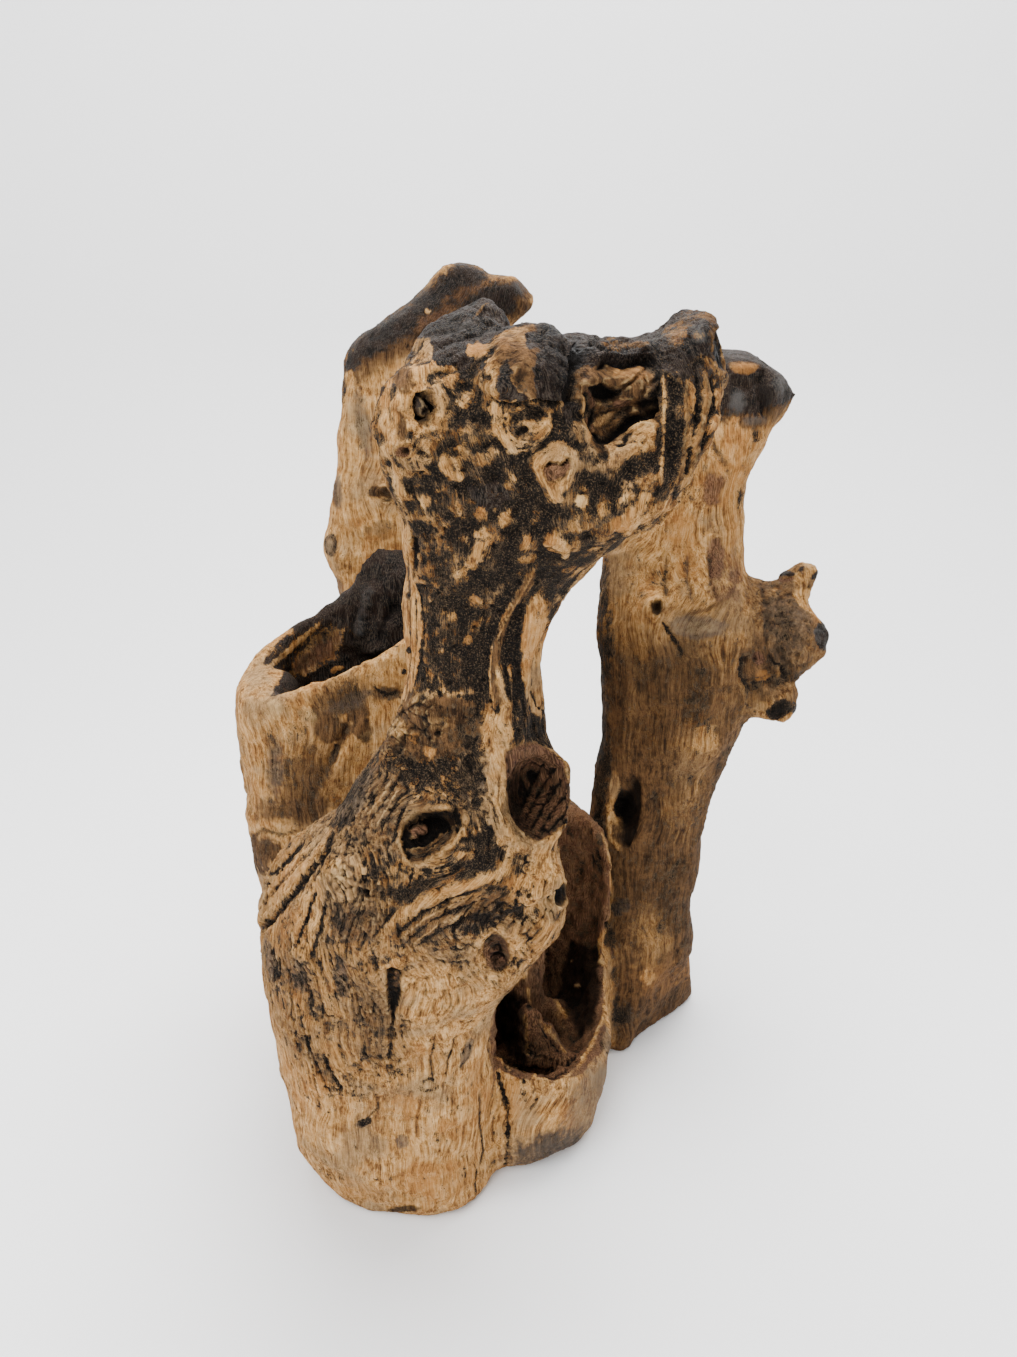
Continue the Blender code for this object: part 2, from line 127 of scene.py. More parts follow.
class Cloud:
    """Gradient noise that gives the same pattern on each run."""

    def __init__(self, seed: int) -> None:
        """Shuffle the lattice.

        Args:
            seed: The number that fixes the pattern.
        """
        rng = np.random.default_rng(seed)
        self.order = rng.permutation(256).astype(np.int32)
        slopes = rng.normal(size=(256, 3))
        self.slopes = (slopes / np.linalg.norm(slopes, axis=1)[:, None]).astype(np.float32)

    def single(self, points: Array) -> Array:
        """One octave, about -1 to 1.

        Args:
            points: An array of points in lattice units.

        Returns:
            One value for each point.
        """
        cell = np.floor(points).astype(np.int32)
        part = (points - cell).astype(np.float32)
        fade = part * part * part * (part * (part * 6 - 15) + 10)
        total = np.zeros(len(points), np.float32)
        for dx in (0, 1):
            across = self.order[(cell[:, 0] + dx) & 255]
            weight_x = fade[:, 0] if dx else 1 - fade[:, 0]
            for dy in (0, 1):
                deep = self.order[(across + cell[:, 1] + dy) & 255]
                weight_xy = weight_x * (fade[:, 1] if dy else 1 - fade[:, 1])
                for dz in (0, 1):
                    slope = self.slopes[self.order[(deep + cell[:, 2] + dz) & 255]]
                    height = (
                        slope[:, 0] * (part[:, 0] - dx)
                        + slope[:, 1] * (part[:, 1] - dy)
                        + slope[:, 2] * (part[:, 2] - dz)
                    )
                    total += weight_xy * (fade[:, 2] if dz else 1 - fade[:, 2]) * height
        return total * 1.7

    def sum(self, points: Array, octaves: int = 3) -> Array:
        """Several octaves, each half as large and twice as fine as the last.

        Args:
            points: An array of points in lattice units.
            octaves: How many octaves to add.

        Returns:
            One value for each point, about -1 to 1.
        """
        total = np.zeros(len(points), np.float32)
        for k in range(octaves):
            total += self.single(points * 2.03**k + 17.3 * k) * 0.5**k
        return total / 1.4


# ---- the views that marks are made from


@dataclass(frozen=True)
class Look:
    """A way of looking at the wood, level and from one compass angle, in millimetres.

    At 0 degrees the wood is seen from the front, at 90 from its right and at 180 from the back.
    """

    angle: float = 0.0
    back: float = 400.0
    middle: float = 20.0

    def frame(self) -> tuple[Array, Array]:
        """The directions to the right and away, as seen."""
        angle = math.radians(self.angle)
        c, s = math.cos(angle), math.sin(angle)
        return np.array((c, s, 0.0)), np.array((-s, c, 0.0))

    def ray(self, u: float, v: float) -> tuple[Array, Array]:
        """Where the line of sight of a place starts, and its direction."""
        right, away = self.frame()
        return right * u + np.array((0, self.middle, v)) - away * self.back, away

    def seen(self, places: Array) -> tuple[Array, Array, Array]:
        """Where places are seen: how far right, how far up, and how far away."""
        right, away = self.frame()
        offset = places - np.array((0, self.middle, 0), np.float32)
        return offset @ right, places[:, 2], offset @ away + self.back

    def toward(self, places: Array) -> Array:
        """The directions from places to whoever looks at them."""
        return -self.frame()[1][None].astype(np.float32)

    def size(self, depth: float) -> float:
        """Units of the view for each millimetre, at a depth."""
        return 1.0

    def upward(self) -> float:
        """1 if the second number of a place grows upward, and -1 if it grows downward."""
        return 1.0


@dataclass(frozen=True)
class Eye(Look):
    """Where the photograph was taken from. Its places are pixels, and its second number grows downward."""

    back: float = 410.0
    height: float = 420.0
    pitch: float = 25.0
    focal: float = 1057.0
    centre_x: float = 508.5
    centre_y: float = 678.5
    frame_height: float = 1357.0
    film: float = 36.0

    def axes(self) -> tuple[Array, Array, Array, Array]:
        """The eye's place, and its directions to the right, down and ahead."""
        c, s = math.cos(math.radians(self.pitch)), math.sin(math.radians(self.pitch))
        place = np.array((0, -self.back, self.height))
        return place, np.array((1.0, 0, 0)), np.array((0, -s, -c)), np.array((0, c, -s))

    def ray(self, u: float, v: float) -> tuple[Array, Array]:
        """Where the line of sight of a pixel starts, and its direction."""
        place, right, down, ahead = self.axes()
        way = ahead + right * (u - self.centre_x) / self.focal + down * (v - self.centre_y) / self.focal
        return place, unit(way)

    def seen(self, places: Array) -> tuple[Array, Array, Array]:
        """The pixels of places, and how far they are ahead."""
        place, right, down, ahead = self.axes()
        offset = places - place.astype(np.float32)
        depth = offset @ ahead
        u = self.centre_x + offset @ right / depth * self.focal
        return u, self.centre_y + offset @ down / depth * self.focal, depth

    def toward(self, places: Array) -> Array:
        """The directions from places to the eye."""
        ways = self.axes()[0].astype(np.float32) - places
        return ways / np.linalg.norm(ways, axis=1)[:, None]

    def size(self, depth: float) -> float:
        """Pixels for each millimetre, at a depth."""
        return self.focal / depth

    def upward(self) -> float:
        """A pixel's second number grows downward."""
        return -1.0

    def stand(self) -> bpy.types.Object:
        """Make the camera and return it."""
        place = Vector((0, -self.back, self.height)) * MM
        bpy.ops.object.camera_add(location=place, rotation=(math.radians(90 - self.pitch), 0, 0))
        camera = bpy.context.object
        camera.data.sensor_width = self.film
        camera.data.lens = self.film * self.focal / self.frame_height
        bpy.context.scene.camera = camera
        return camera


Aim = tuple[float, ...]


@dataclass(frozen=True)
class Spot:
    """A place on the skin, the way out of the wood there, and its depth and scale in its view."""

    point: Array
    out: Array
    depth: float
    scale: float


class Paint(Enum):
    """What a place is stained with: a value for each stain that it sets."""

    BARE = {"bark": 0.22, "char": 0.0, "tone": 0.15, "grey": 0.0, "deep": 0.0, "red": 0.0}
    CLEAN = {"bark": 0.0, "char": 0.0, "tone": 0.0, "grey": 0.0, "deep": 0.0, "red": 0.0}
    PALE = {"bark": 0.1, "char": 0.0, "pale": 0.6, "tone": 0.1, "deep": 0.0}
    FILM = {"bark": 0.46}
    BARK = {"bark": 0.9}
    CHAR = {"char": 1.0}
    GREY = {"grey": 0.8, "deep": 0.0}
    SLATE = {"bark": 0.72, "grey": 0.8}
    STRIATED = {"bark": 0.46, "grey": 0.4, "tone": 0.6, "fibre": 1.5}
    RED = {"red": 0.9, "bark": 0.15, "char": 0.0, "deep": 0.1}
    BROWN = {"tone": 0.95, "bark": 0.3, "char": 0.0, "deep": 0.0}
    ORANGE = {"orange": 0.9, "bark": 0.1, "char": 0.0, "deep": 0.0}
    HOLLOW = {"red": 0.9, "deep": 0.25, "bark": 0.2, "char": 0.0, "fibre": 1.2}
    # Painted shade: this paint, and the deep value in the others, darken cracks, slits, holes, grooves and hollows
    # where shade falls. HOLLOW and RED keep a little of it, and most of the rest clear it.
    PAINTED_SHADE = {"deep": 1.0}
    SMOOTH = {"fibre": 0.25}
    NONE = {}


# Of these, deep holds painted shade, and pale is partly bleached wear and partly painted highlight. Grey over char is
# partly ash and partly painted sheen.
STAINS = ("bark", "char", "grey", "red", "pale", "deep", "tone", "orange")
BARE, CLEAN, PALE, FILM, BARK, CHAR, GREY, SLATE, STRIATED, RED, BROWN, ORANGE, HOLLOW, PAINTED_SHADE, SMOOTH, NONE = Paint


# ---- marks: what is carved or stained at a place


def aims(text: str) -> tuple[Aim, ...]:
    """The places in a text such as "440,334 462,328"."""
    return tuple(tuple(float(number) for number in place.split(",")) for place in text.split())


class Placed:
    """What a mark has that is made at one place: its place, in the view from its angle if it has one, and its size."""

    @property
    def at(self) -> Aim:
        """Its place."""
        return (self.x, self.y) if self.angle is None else (self.x, self.y, self.angle)

    @property
    def size(self) -> tuple[float, float]:
        """Half its width and height."""
        return self.wide, self.high


@dataclass(frozen=True)
class Patch(Placed):
    """A stained patch with a ragged edge, and a swelling or a dent with it if it has a depth."""

    x: float
    y: float
    wide: float
    high: float
    paint: Paint
    strength: float = 1.0
    ragged: float = 0.8
    soft: float = 0.25
    turn: float = 0.0
    depth: float = 0.0
    angle: float | None = None

    def make(self, skin: Skin) -> None:
        """Stain the skin and move it."""
        index, across, up, near = skin.around(self.at, self.size, self.turn)
        reach = np.hypot(across / self.size[0], up / self.size[1])
        reach += self.ragged * (skin.rough[index] * 0.6 + skin.grit[index] * 0.5)
        skin.stain(index, eased((1 + self.soft - reach) / (2 * self.soft)) * near * self.strength, self.paint)
        if self.depth:
            bowl = eased(1.15 - reach) * near
            skin.places[index] -= (self.depth * bowl)[:, None] * skin.spot(self.at).out


@dataclass(frozen=True)
class Dent(Placed):
    """A dent, or a swelling if its depth is under zero, with a raised rim and steep or gentle sides."""

    x: float
    y: float
    wide: float
    high: float
    depth: float
    paint: Paint = NONE
    strength: float = 1.0
    rim: float = 0.0
    steep: float = 1.0
    turn: float = 0.0
    ragged: float = 0.12
    angle: float | None = None

    def make(self, skin: Skin) -> None:
        """Move the skin, then stain it."""
        index, across, up, near = skin.around(self.at, self.size, self.turn)
        reach = np.hypot(across / self.size[0], up / self.size[1])
        reach += self.ragged * skin.rough[index]
        bowl = eased((1 - reach) * self.steep)
        rim = np.exp(-(((reach - 1.12) / 0.22) ** 2))
        move = (self.rim * rim - self.depth * bowl) * near
        skin.places[index] += move[:, None] * skin.spot(self.at).out
        skin.stain(index, eased((1.12 - reach) / 0.25) * near * self.strength, self.paint)


@dataclass(frozen=True)
class Rings(Placed):
    """The rings of a knot: ripples round a middle."""

    x: float
    y: float
    wide: float
    high: float
    count: int
    height: float = 0.3
    dark: float = 0.5
    turn: float = 0.0
    angle: float | None = None

    def make(self, skin: Skin) -> None:
        """Ripple the skin, and darken the troughs."""
        index, across, up, near = skin.around(self.at, self.size, self.turn)
        reach = np.hypot(across / self.size[0], up / self.size[1])
        wander = reach + 0.12 * skin.rough[index]
        fade = eased((1.15 - reach) / 0.35) * near
        ripple = np.cos(wander * self.count * 2 * math.pi)
        skin.places[index] += (self.height * ripple * fade)[:, None] * skin.spot(self.at).out
        skin.stain(index, fade * eased(-ripple) * self.dark, FILM)


@dataclass(frozen=True)
class Line:
    """A crack along a row of places, or a rib if its depth is under zero."""

    through: str
    width: float
    depth: float
    paint: Paint = NONE
    strength: float = 1.0
    wander: float = 0.5
    spread: float = 0.75
    lip: float = 0.0

    def make(self, skin: Skin) -> None:
        """Cut or raise the skin along the line, then stain it."""
        index, distance, share, _, near = skin.beside(aims(self.through), self.width * 3.5 + 3)
        distance = distance + self.wander * self.width * skin.grit[index]
        taper = eased(np.minimum(share, 1 - share) * 6 + 0.25) * near
        groove = np.exp(-((distance / (self.width * (0.4 + 0.6 * taper))) ** 2))
        lip = np.exp(-(((distance - 2 * self.width) / (0.7 * self.width)) ** 2))
        move = (self.lip * lip - self.depth * groove) * taper
        skin.places[index] += move[:, None] * skin.outward[index]
        stained = np.exp(-((distance / (self.width * self.spread)) ** 4))
        skin.stain(index, stained * taper * self.strength, self.paint)


@dataclass(frozen=True)
class Edge:
    """A step along a row of places: the skin to the left of the way that it runs stands over the rest."""

    through: str
    height: float
    reach: float
    under: float = 0.0
    paint: Paint = NONE
    strength: float = 1.0
    wander: float = 2.0

    def make(self, skin: Skin) -> None:
        """Raise one side of the line and undercut the other."""
        through = aims(self.through)
        index, distance, share, side, near = skin.beside(through, self.reach * 2 + 4)
        side = side + self.wander * (skin.grit[index] + skin.rough[index])
        taper = eased(np.minimum(share, 1 - share) * 5 + 0.15) * eased(2 - distance / self.reach) * near
        raised = self.height * eased(side / 2.5) * np.exp(-np.maximum(side, 0) / self.reach)
        sunk = self.under * np.exp(-((np.minimum(side, 0) / 5) ** 2)) * eased(-side / 2)
        out = skin.spot(through[len(through) // 2]).out
        skin.places[index] += ((raised - sunk) * taper)[:, None] * out
        skin.stain(index, taper * np.exp(-(((side + 2.5) / 3.0) ** 2)) * self.strength, self.paint)


@dataclass(frozen=True)
class Area:
    """A stained outline, sunk or raised with steep sides if it has a depth."""

    outline: str
    paint: Paint
    strength: float = 1.0
    depth: float = 0.0
    soft: float = 3.0
    ragged: float = 3.0
    window: float = 24.0

    def make(self, skin: Skin) -> None:
        """Stain and move what is inside the outline."""
        outline = aims(self.outline)
        index, within, near = skin.within(outline, self.window, self.soft * 2 + self.ragged * 2)
        within = within + self.ragged * (0.6 * skin.rough[index] + 0.6 * skin.grit[index])
        inside = eased(within / self.soft * 0.5 + 0.5) * near
        if self.depth:
            out = skin.spot(skin.centre(outline)).out
            skin.places[index] -= (self.depth * inside)[:, None] * out
        skin.stain(index, inside * self.strength, self.paint)


@dataclass(frozen=True)
class Plates(Placed):
    """Wood that has shrunk into plates with cracks between them."""

    x: float
    y: float
    wide: float
    high: float
    count: int
    seed: int
    depth: float = 1.2
    gap: float = 2.2
    tilt: float = 1.0
    turn: float = 0.0
    dark: float = 0.9
    angle: float | None = None

    def make(self, skin: Skin) -> None:
        """Part the skin into plates."""
        index, across, up, near = skin.around(self.at, self.size, self.turn)
        rng = np.random.default_rng(self.seed)
        seeds = rng.uniform(-1.1, 1.1, (self.count, 2)) * np.array(self.size)
        heights = rng.uniform(-1, 1, self.count)
        here = np.stack([across, up], 1) + 1.6 * np.stack([skin.grit[index], skin.rough[index]], 1)
        gaps = np.linalg.norm(here[:, None, :] - seeds[None, :, :], axis=2)
        order = np.argsort(gaps, axis=1)[:, :2]
        first = np.take_along_axis(gaps, order[:, :1], 1)[:, 0]
        second = np.take_along_axis(gaps, order[:, 1:2], 1)[:, 0]
        reach = np.hypot(across / self.size[0], up / self.size[1])
        fade = eased((1.1 - reach) / 0.3) * near
        crack = np.exp(-(((second - first) / self.gap) ** 2))
        move = (self.tilt * heights[order[:, 0]] - self.depth * crack) * fade
        skin.places[index] += move[:, None] * skin.spot(self.at).out
        # Painted shade in the cracks between the plates.
        skin.stain(index, crack * fade * self.dark, PAINTED_SHADE)


@dataclass(frozen=True)
class Lean(Placed):
    """Leans the grain over to the right of upright, by degrees that die away over a reach."""

    x: float
    y: float
    reach: float
    degrees: float
    angle: float | None = None

    def bend(self, skin: Skin, grain: Array) -> None:
        """Turn the grain coordinates."""
        spot = skin.spot(self.at)
        right, up = skin.upright(self.at)
        offset = skin.places - spot.point
        angle = math.radians(self.degrees) * np.exp(-((np.linalg.norm(offset, axis=1) / self.reach) ** 2))
        base = np.array([right, up, np.cross(right, up)], np.float32)
        local = (grain - spot.point) @ base.T
        c, s = np.cos(angle), np.sin(angle)
        turned = np.stack([local[:, 0] * c - local[:, 1] * s, local[:, 0] * s + local[:, 1] * c, local[:, 2]], 1)
        grain[:] = turned @ base + spot.point


@dataclass(frozen=True)
class Bow(Placed):
    """Makes the grain bow round a knot."""

    x: float
    y: float
    reach: float
    strength: float = 0.8
    angle: float | None = None

    def bend(self, skin: Skin, grain: Array) -> None:
        """Squeeze the grain coordinates towards the knot's middle line."""
        spot = skin.spot(self.at)
        right, _ = skin.upright(self.at)
        offset = skin.places - spot.point
        fade = np.exp(-((np.linalg.norm(offset, axis=1) / self.reach) ** 2))
        grain -= (offset @ right * fade * self.strength)[:, None] * right.astype(np.float32)


# ---- the skin


class Skin:
    """The wood's outer skin as arrays: places, the way out of the wood, stains and grain."""

    coarse = 2.6
    swell = 0.2
    rounding = 3
    facing = 0.02
    search = 90
    golden = 2.39996

    def __init__(self, nodes: dict[str, bpy.types.Object], eye: Eye) -> None:
        """Wrap the solids.

        Args:
            nodes: The CAD solids, by name.
            eye: The camera's place and rays.
        """
        self.eye = eye
        self.names = sorted(nodes)
        self.object = self.wrapped([nodes[name] for name in self.names])
        self.mark_parts([nodes[name] for name in self.names])
        self.tree = BVHTree.FromObject(self.object, bpy.context.evaluated_depsgraph_get())
        self.spots: dict[Aim, Spot] = {}
        self.views: dict[float | None, tuple[Array, Array, Array]] = {}
        self.divide()
        self.read()
        cloud = Cloud(11)
        self.rough = cloud.sum(self.places / 6.0, 3)
        self.grit = cloud.sum(self.places / 1.9 + 40, 2)
        self.stains = {name: np.zeros(len(self.places), np.float32) for name in (*STAINS, "fibre")}

    def wrapped(self, nodes: list[bpy.types.Object]) -> bpy.types.Object:
        """Make a single closed skin.

        Args:
            nodes: The solids that it goes round. They are copied first.

        Returns:
            The skin's object.
        """
        bpy.ops.object.select_all(action="DESELECT")
        for node in nodes:
            node.select_set(True)
        bpy.context.view_layer.objects.active = nodes[0]
        bpy.ops.object.duplicate()
        bpy.ops.object.join()
        skin = bpy.context.object
        skin.name = "skin"
        skin.parent = None
        for key in list(skin.keys()):
            del skin[key]
        bpy.ops.object.mode_set(mode="EDIT")
        bpy.ops.mesh.select_all(action="SELECT")
        bpy.ops.mesh.remove_doubles(threshold=0.001 * MM)
        bpy.ops.transform.shrink_fatten(value=self.swell * MM)
        bpy.ops.object.mode_set(mode="OBJECT")
        self.apply(skin, "REMESH", mode="VOXEL", voxel_size=self.coarse * MM, use_smooth_shade=True)
        self.apply(skin, "SMOOTH", factor=0.5, iterations=self.rounding)
        return skin

    def apply(self, obj: bpy.types.Object, kind: str, **settings: object) -> None:
        """Add a modifier to obj and apply it."""
        modifier = obj.modifiers.new(kind.title(), kind)
        for key, value in settings.items():
            setattr(modifier, key, value)
        bpy.context.view_layer.objects.active = obj
        bpy.ops.object.modifier_apply(modifier=modifier.name)

    def mark_parts(self, nodes: list[bpy.types.Object]) -> None:
        """Write on each face the number of the solid that it covers.

        Args:
            nodes: The solids, in the order of their numbers.
        """
        corners: list[Vector] = []
        faces: list[tuple[int, ...]] = []
        owner: list[int] = []
        for number, node in enumerate(nodes):
            start = len(corners)
            corners.extend(vert.co for vert in node.data.vertices)
            for face in node.data.polygons:
                faces.append(tuple(start + v for v in face.vertices))
                owner.append(number)
        tree = BVHTree.FromPolygons(corners, faces)
        mesh = self.object.data
        part = mesh.attributes.new("part", "INT", "FACE")
        part.data.foreach_set("value", [owner[tree.find_nearest(face.center)[2]] for face in mesh.polygons])

    def divide(self) -> None:
        """Round the skin with finer faces, and make those that face the front finer still."""
        self.apply(self.object, "SUBSURF", levels=1, render_levels=1)
        mesh = self.object.data
        count = len(mesh.polygons)
        part = np.empty(count, np.int32)
        mesh.attributes["part"].data.foreach_get("value", part)
        normal = np.empty(count * 3, np.float32)
        mesh.polygons.foreach_get("normal", normal)
        centre = np.empty(count * 3, np.float32)
        mesh.polygons.foreach_get("center", centre)
        centre = centre.reshape(-1, 3) / MM
        seen = self.eye.axes()[0].astype(np.float32) - centre
        seen /= np.linalg.norm(seen, axis=1)[:, None]
        shown = (normal.reshape(-1, 3) * seen).sum(1) > self.facing
        limb, crown = self.names.index("front_limb"), self.names.index("root_crown")
        fine = shown & ((part == limb) | ((part == crown) & (centre[:, 1] < -30)))
        mesh.polygons.foreach_set("select", fine)
        bpy.ops.object.mode_set(mode="EDIT")
        bpy.ops.mesh.select_mode(type="FACE")
        bpy.ops.mesh.subdivide(number_cuts=1)
        bpy.ops.mesh.select_all(action="SELECT")
        bpy.ops.mesh.quads_convert_to_tris(quad_method="SHORTEST_DIAGONAL", ngon_method="BEAUTY")
        bpy.ops.object.mode_set(mode="OBJECT")
        log.info("skin: %d triangles", len(mesh.polygons))

    def read(self) -> None:
        """Take the places and outward directions from the mesh."""
        mesh = self.object.data
        count = len(mesh.vertices)
        places = np.empty(count * 3, np.float32)
        mesh.vertices.foreach_get("co", places)
        self.places = places.reshape(-1, 3) / MM
        outward = np.empty(count * 3, np.float32)
        mesh.vertices.foreach_get("normal", outward)
        self.outward = outward.reshape(-1, 3)
        edges = np.empty(len(mesh.edges) * 2, np.int32)
        mesh.edges.foreach_get("vertices", edges)
        self.edges = edges.reshape(-1, 2)
        self.degree = np.bincount(self.edges.ravel(), minlength=count).astype(np.float32)
        corners = np.empty(len(mesh.polygons) * 3, np.int32)
        mesh.polygons.foreach_get("vertices", corners)
        part = np.empty(len(mesh.polygons), np.int32)
        mesh.attributes["part"].data.foreach_get("value", part)
        self.part = np.zeros(count, np.int32)
        for k in range(3):
            self.part[corners[k::3]] = part

    def write(self) -> None:
        """Put the places on the mesh, keep the flat cut level, and refresh the outward directions."""
        np.maximum(self.places[:, 2], 0, out=self.places[:, 2])
        mesh = self.object.data
        mesh.vertices.foreach_set("co", (self.places * MM).ravel())
        mesh.update()
        outward = np.empty(len(mesh.vertices) * 3, np.float32)
        mesh.vertices.foreach_get("normal", outward)
        self.outward = outward.reshape(-1, 3)

    def spread(self, values: Array, passes: int) -> Array:
        """Average each vertex with its neighbours.

        Args:
            values: A value for each vertex.
            passes: How many times over.

        Returns:
            The smoother values.
        """
        a, b = self.edges[:, 0], self.edges[:, 1]
        count = len(self.degree)
        for _ in range(passes):
            total = np.bincount(a, values[b], count) + np.bincount(b, values[a], count)
            values = 0.5 * values + 0.5 * total / self.degree
        return values.astype(np.float32)

    def hollowness(self) -> Array:
        """How hollow the skin is round each vertex: over zero in a hollow, under zero on a ridge."""
        a, b = self.edges[:, 0], self.edges[:, 1]
        count = len(self.degree)
        step = self.places[b] - self.places[a]
        total = np.stack(
            [np.bincount(a, step[:, k], count) - np.bincount(b, step[:, k], count) for k in range(3)], 1
        )
        length = np.linalg.norm(step, axis=1)
        size = (np.bincount(a, length, count) + np.bincount(b, length, count)) / self.degree
        return ((total * self.outward).sum(1) / self.degree / np.maximum(size, 0.1) ** 2).astype(np.float32)

    def is_part(self, name: str) -> Array:
        """Which vertices are on the solid of that name."""
        return self.part == self.names.index(name)

    def look(self, aim: Aim) -> Look:
        """The view that a place is named in: the photograph's, or that of the angle given third."""
        return self.eye if len(aim) == 2 else Look(aim[2])

    def enclosed(self, index: Array, reach: float) -> Array:
        """Find the vertices that face more wood.

        Args:
            index: The vertices' numbers.
            reach: How far off the wood may be, in millimetres.

        Returns:
            1 for those that do and 0 for the rest, blended a little.
        """
        found = np.zeros(len(self.places), np.float32)
        for k in index:
            way = Vector(self.outward[k])
            start = (Vector(self.places[k]) + way * self.coarse) * MM
            found[k] = self.tree.ray_cast(start, way, reach * MM)[0] is not None
        return self.spread(found, 5)[index]

    def view(self, aim: Aim) -> tuple[Array, Array, Array]:
        """Where all the vertices are in the view of a place."""
        key = None if len(aim) == 2 else aim[2]
        if key not in self.views:
            self.views[key] = self.look(aim).seen(self.places)
        return self.views[key]

    def spot(self, aim: Aim) -> Spot:
        """Find a place on the skin.

        Args:
            aim: A pixel of the photograph, or a place in the view from a compass angle.

        Returns:
            The place, or the nearest to it that is on the wood.
        """
        if aim in self.spots:
            return self.spots[aim]
        look = self.look(aim)
        for step in range(self.search):
            turn = step * self.golden
            start, way = look.ray(aim[0] + math.cos(turn) * step * 0.3, aim[1] + math.sin(turn) * step * 0.3)
            point, normal, _, _ = self.tree.ray_cast(Vector(start) * MM, Vector(way))
            if point is not None:
                break
        else:
            raise ValueError(f"nothing is seen at {aim}")
        place = np.array(point) / MM
        depth = float(look.seen(place[None].astype(np.float32))[2][0])
        found = Spot(place, unit(np.array(normal)), depth, look.size(depth))
        self.spots[aim] = found
        return found

    def faced(self, aim: Aim, index: Array) -> Array:
        """1 for the vertices that are turned to whoever looks at a place, down to 0 for those turned away."""
        toward = self.look(aim).toward(self.places[index])
        return eased((toward * self.outward[index]).sum(1) * 4 + 1.4)

    def upright(self, aim: Aim) -> tuple[Array, Array]:
        """The ways along the skin at a place.

        Args:
            aim: The place.

        Returns:
            The way to the right and the way up, as its view sees them.
        """
        out = self.spot(aim).out
        side = self.look(aim).frame()[0]
        right = side - out * np.dot(side, out)
        right = unit(right) if np.linalg.norm(right) > 0.2 else unit(np.cross((0, 0, 1), out))
        return right, np.cross(out, right)

    def centre(self, outline: tuple[Aim, ...]) -> Aim:
        """The middle of an outline, as a place."""
        middle = np.mean([aim[:2] for aim in outline], axis=0)
        return (float(middle[0]), float(middle[1]), *outline[0][2:])

    def around(self, aim: Aim, size: tuple[float, float], turn: float) -> tuple[Array, Array, Array, Array]:
        """The vertices near a place.

        Args:
            aim: The place.
            size: Half the width and height of what is made there.
            turn: Degrees to turn it by, anticlockwise as seen.

        Returns:
            The vertices' numbers, how far right and up they are, and 1 for those near in depth, down to 0.
        """
        u, v, depth = self.view(aim)
        spot = self.spot(aim)
        reach = max(size) * 1.7 + 2
        index = np.nonzero((np.abs(u - aim[0]) < reach) & (np.abs(v - aim[1]) < reach))[0]
        behind = np.abs(depth[index] - spot.depth)
        room = max(size) / spot.scale * 1.1 + 4
        index, behind = index[behind < room * 2], behind[behind < room * 2]
        right = u[index] - aim[0]
        up = (v[index] - aim[1]) * self.look(aim).upward()
        c, s = math.cos(math.radians(turn)), math.sin(math.radians(turn))
        near = eased(2 - behind / room) * self.faced(aim, index)
        return index, right * c + up * s, up * c - right * s, near

    def beside(self, through: tuple[Aim, ...], reach: float) -> tuple[Array, Array, Array, Array, Array]:
        """The vertices beside a line of places.

        Args:
            through: The places.
            reach: How far from the line to look, in the view's units.

        Returns:
            The vertices' numbers, their distance, how far along the line they are from 0 to 1, their distance
            to its left, and 1 for those near in depth, down to 0.
        """
        u, v, depth = self.view(through[0])
        points = np.array([aim[:2] for aim in through], float)
        depths = np.array([self.spot(aim).depth for aim in through])
        low, high = points.min(0) - reach, points.max(0) + reach
        index = np.nonzero((u > low[0]) & (u < high[0]) & (v > low[1]) & (v < high[1]))[0]
        here = np.stack([u[index], v[index]], 1)
        best = np.full(len(index), 1e9)
        share, left, level = np.zeros(len(index)), np.zeros(len(index)), np.zeros(len(index))
        sign = -self.look(through[0]).upward()
        for k, (a, b) in enumerate(zip(points, points[1:])):
            way = b - a
            t = np.clip((here - a) @ way / max(float(way @ way), 1e-6), 0, 1)
            offset = here - (a + t[:, None] * way)
            distance = np.linalg.norm(offset, axis=1)
            closer = distance < best
            best[closer] = distance[closer]
            share[closer] = (k + t[closer]) / (len(points) - 1)
            side = (offset[:, 0] * way[1] - offset[:, 1] * way[0]) / np.linalg.norm(way) * sign
            left[closer] = side[closer]
            level[closer] = (depths[k] + (depths[k + 1] - depths[k]) * t)[closer]
        near = eased(2 - np.abs(depth[index] - level) / 9) * self.faced(through[0], index)
        return index, best, share, left, near

    def inside(self, low: tuple, high: tuple) -> Array:
        """The numbers of the vertices in a box."""
        return np.nonzero(np.all((self.places >= np.array(low)) & (self.places <= np.array(high)), axis=1))[0]

    def within(self, outline: tuple[Aim, ...], window: float, margin: float) -> tuple[Array, Array, Array]:
        """The vertices in and near an outline.

        Args:
            outline: Its corners.
            window: How much deeper or nearer than the corners a vertex may be, in millimetres.
            margin: How far outside to look, in the view's units.

        Returns:
            The vertices' numbers, how far inside they are, and 1 for those near in depth, down to 0.
        """
        u, v, depth = self.view(outline[0])
        points = np.array([aim[:2] for aim in outline], float)
        depths = [self.spot(aim).depth for aim in (*outline, self.centre(outline))]
        low, high = points.min(0) - margin, points.max(0) + margin
        index = np.nonzero((u > low[0]) & (u < high[0]) & (v > low[1]) & (v < high[1]))[0]
        here = np.stack([u[index], v[index]], 1)
        best = np.full(len(index), 1e9)
        crossings = np.zeros(len(index), bool)
        for a, b in zip(points, np.roll(points, -1, axis=0)):
            way = b - a
            t = np.clip((here - a) @ way / max(float(way @ way), 1e-6), 0, 1)
            best = np.minimum(best, np.linalg.norm(here - (a + t[:, None] * way), axis=1))
            spans = (a[1] > here[:, 1]) != (b[1] > here[:, 1])
            if abs(way[1]) > 1e-9:
                crossings ^= spans & (here[:, 0] < a[0] + (here[:, 1] - a[1]) * way[0] / way[1])
        middle = float(np.median(depths))
        near = eased(2 - np.abs(depth[index] - middle) / window) * self.faced(outline[0], index)
        return index, np.where(crossings, best, -best), near

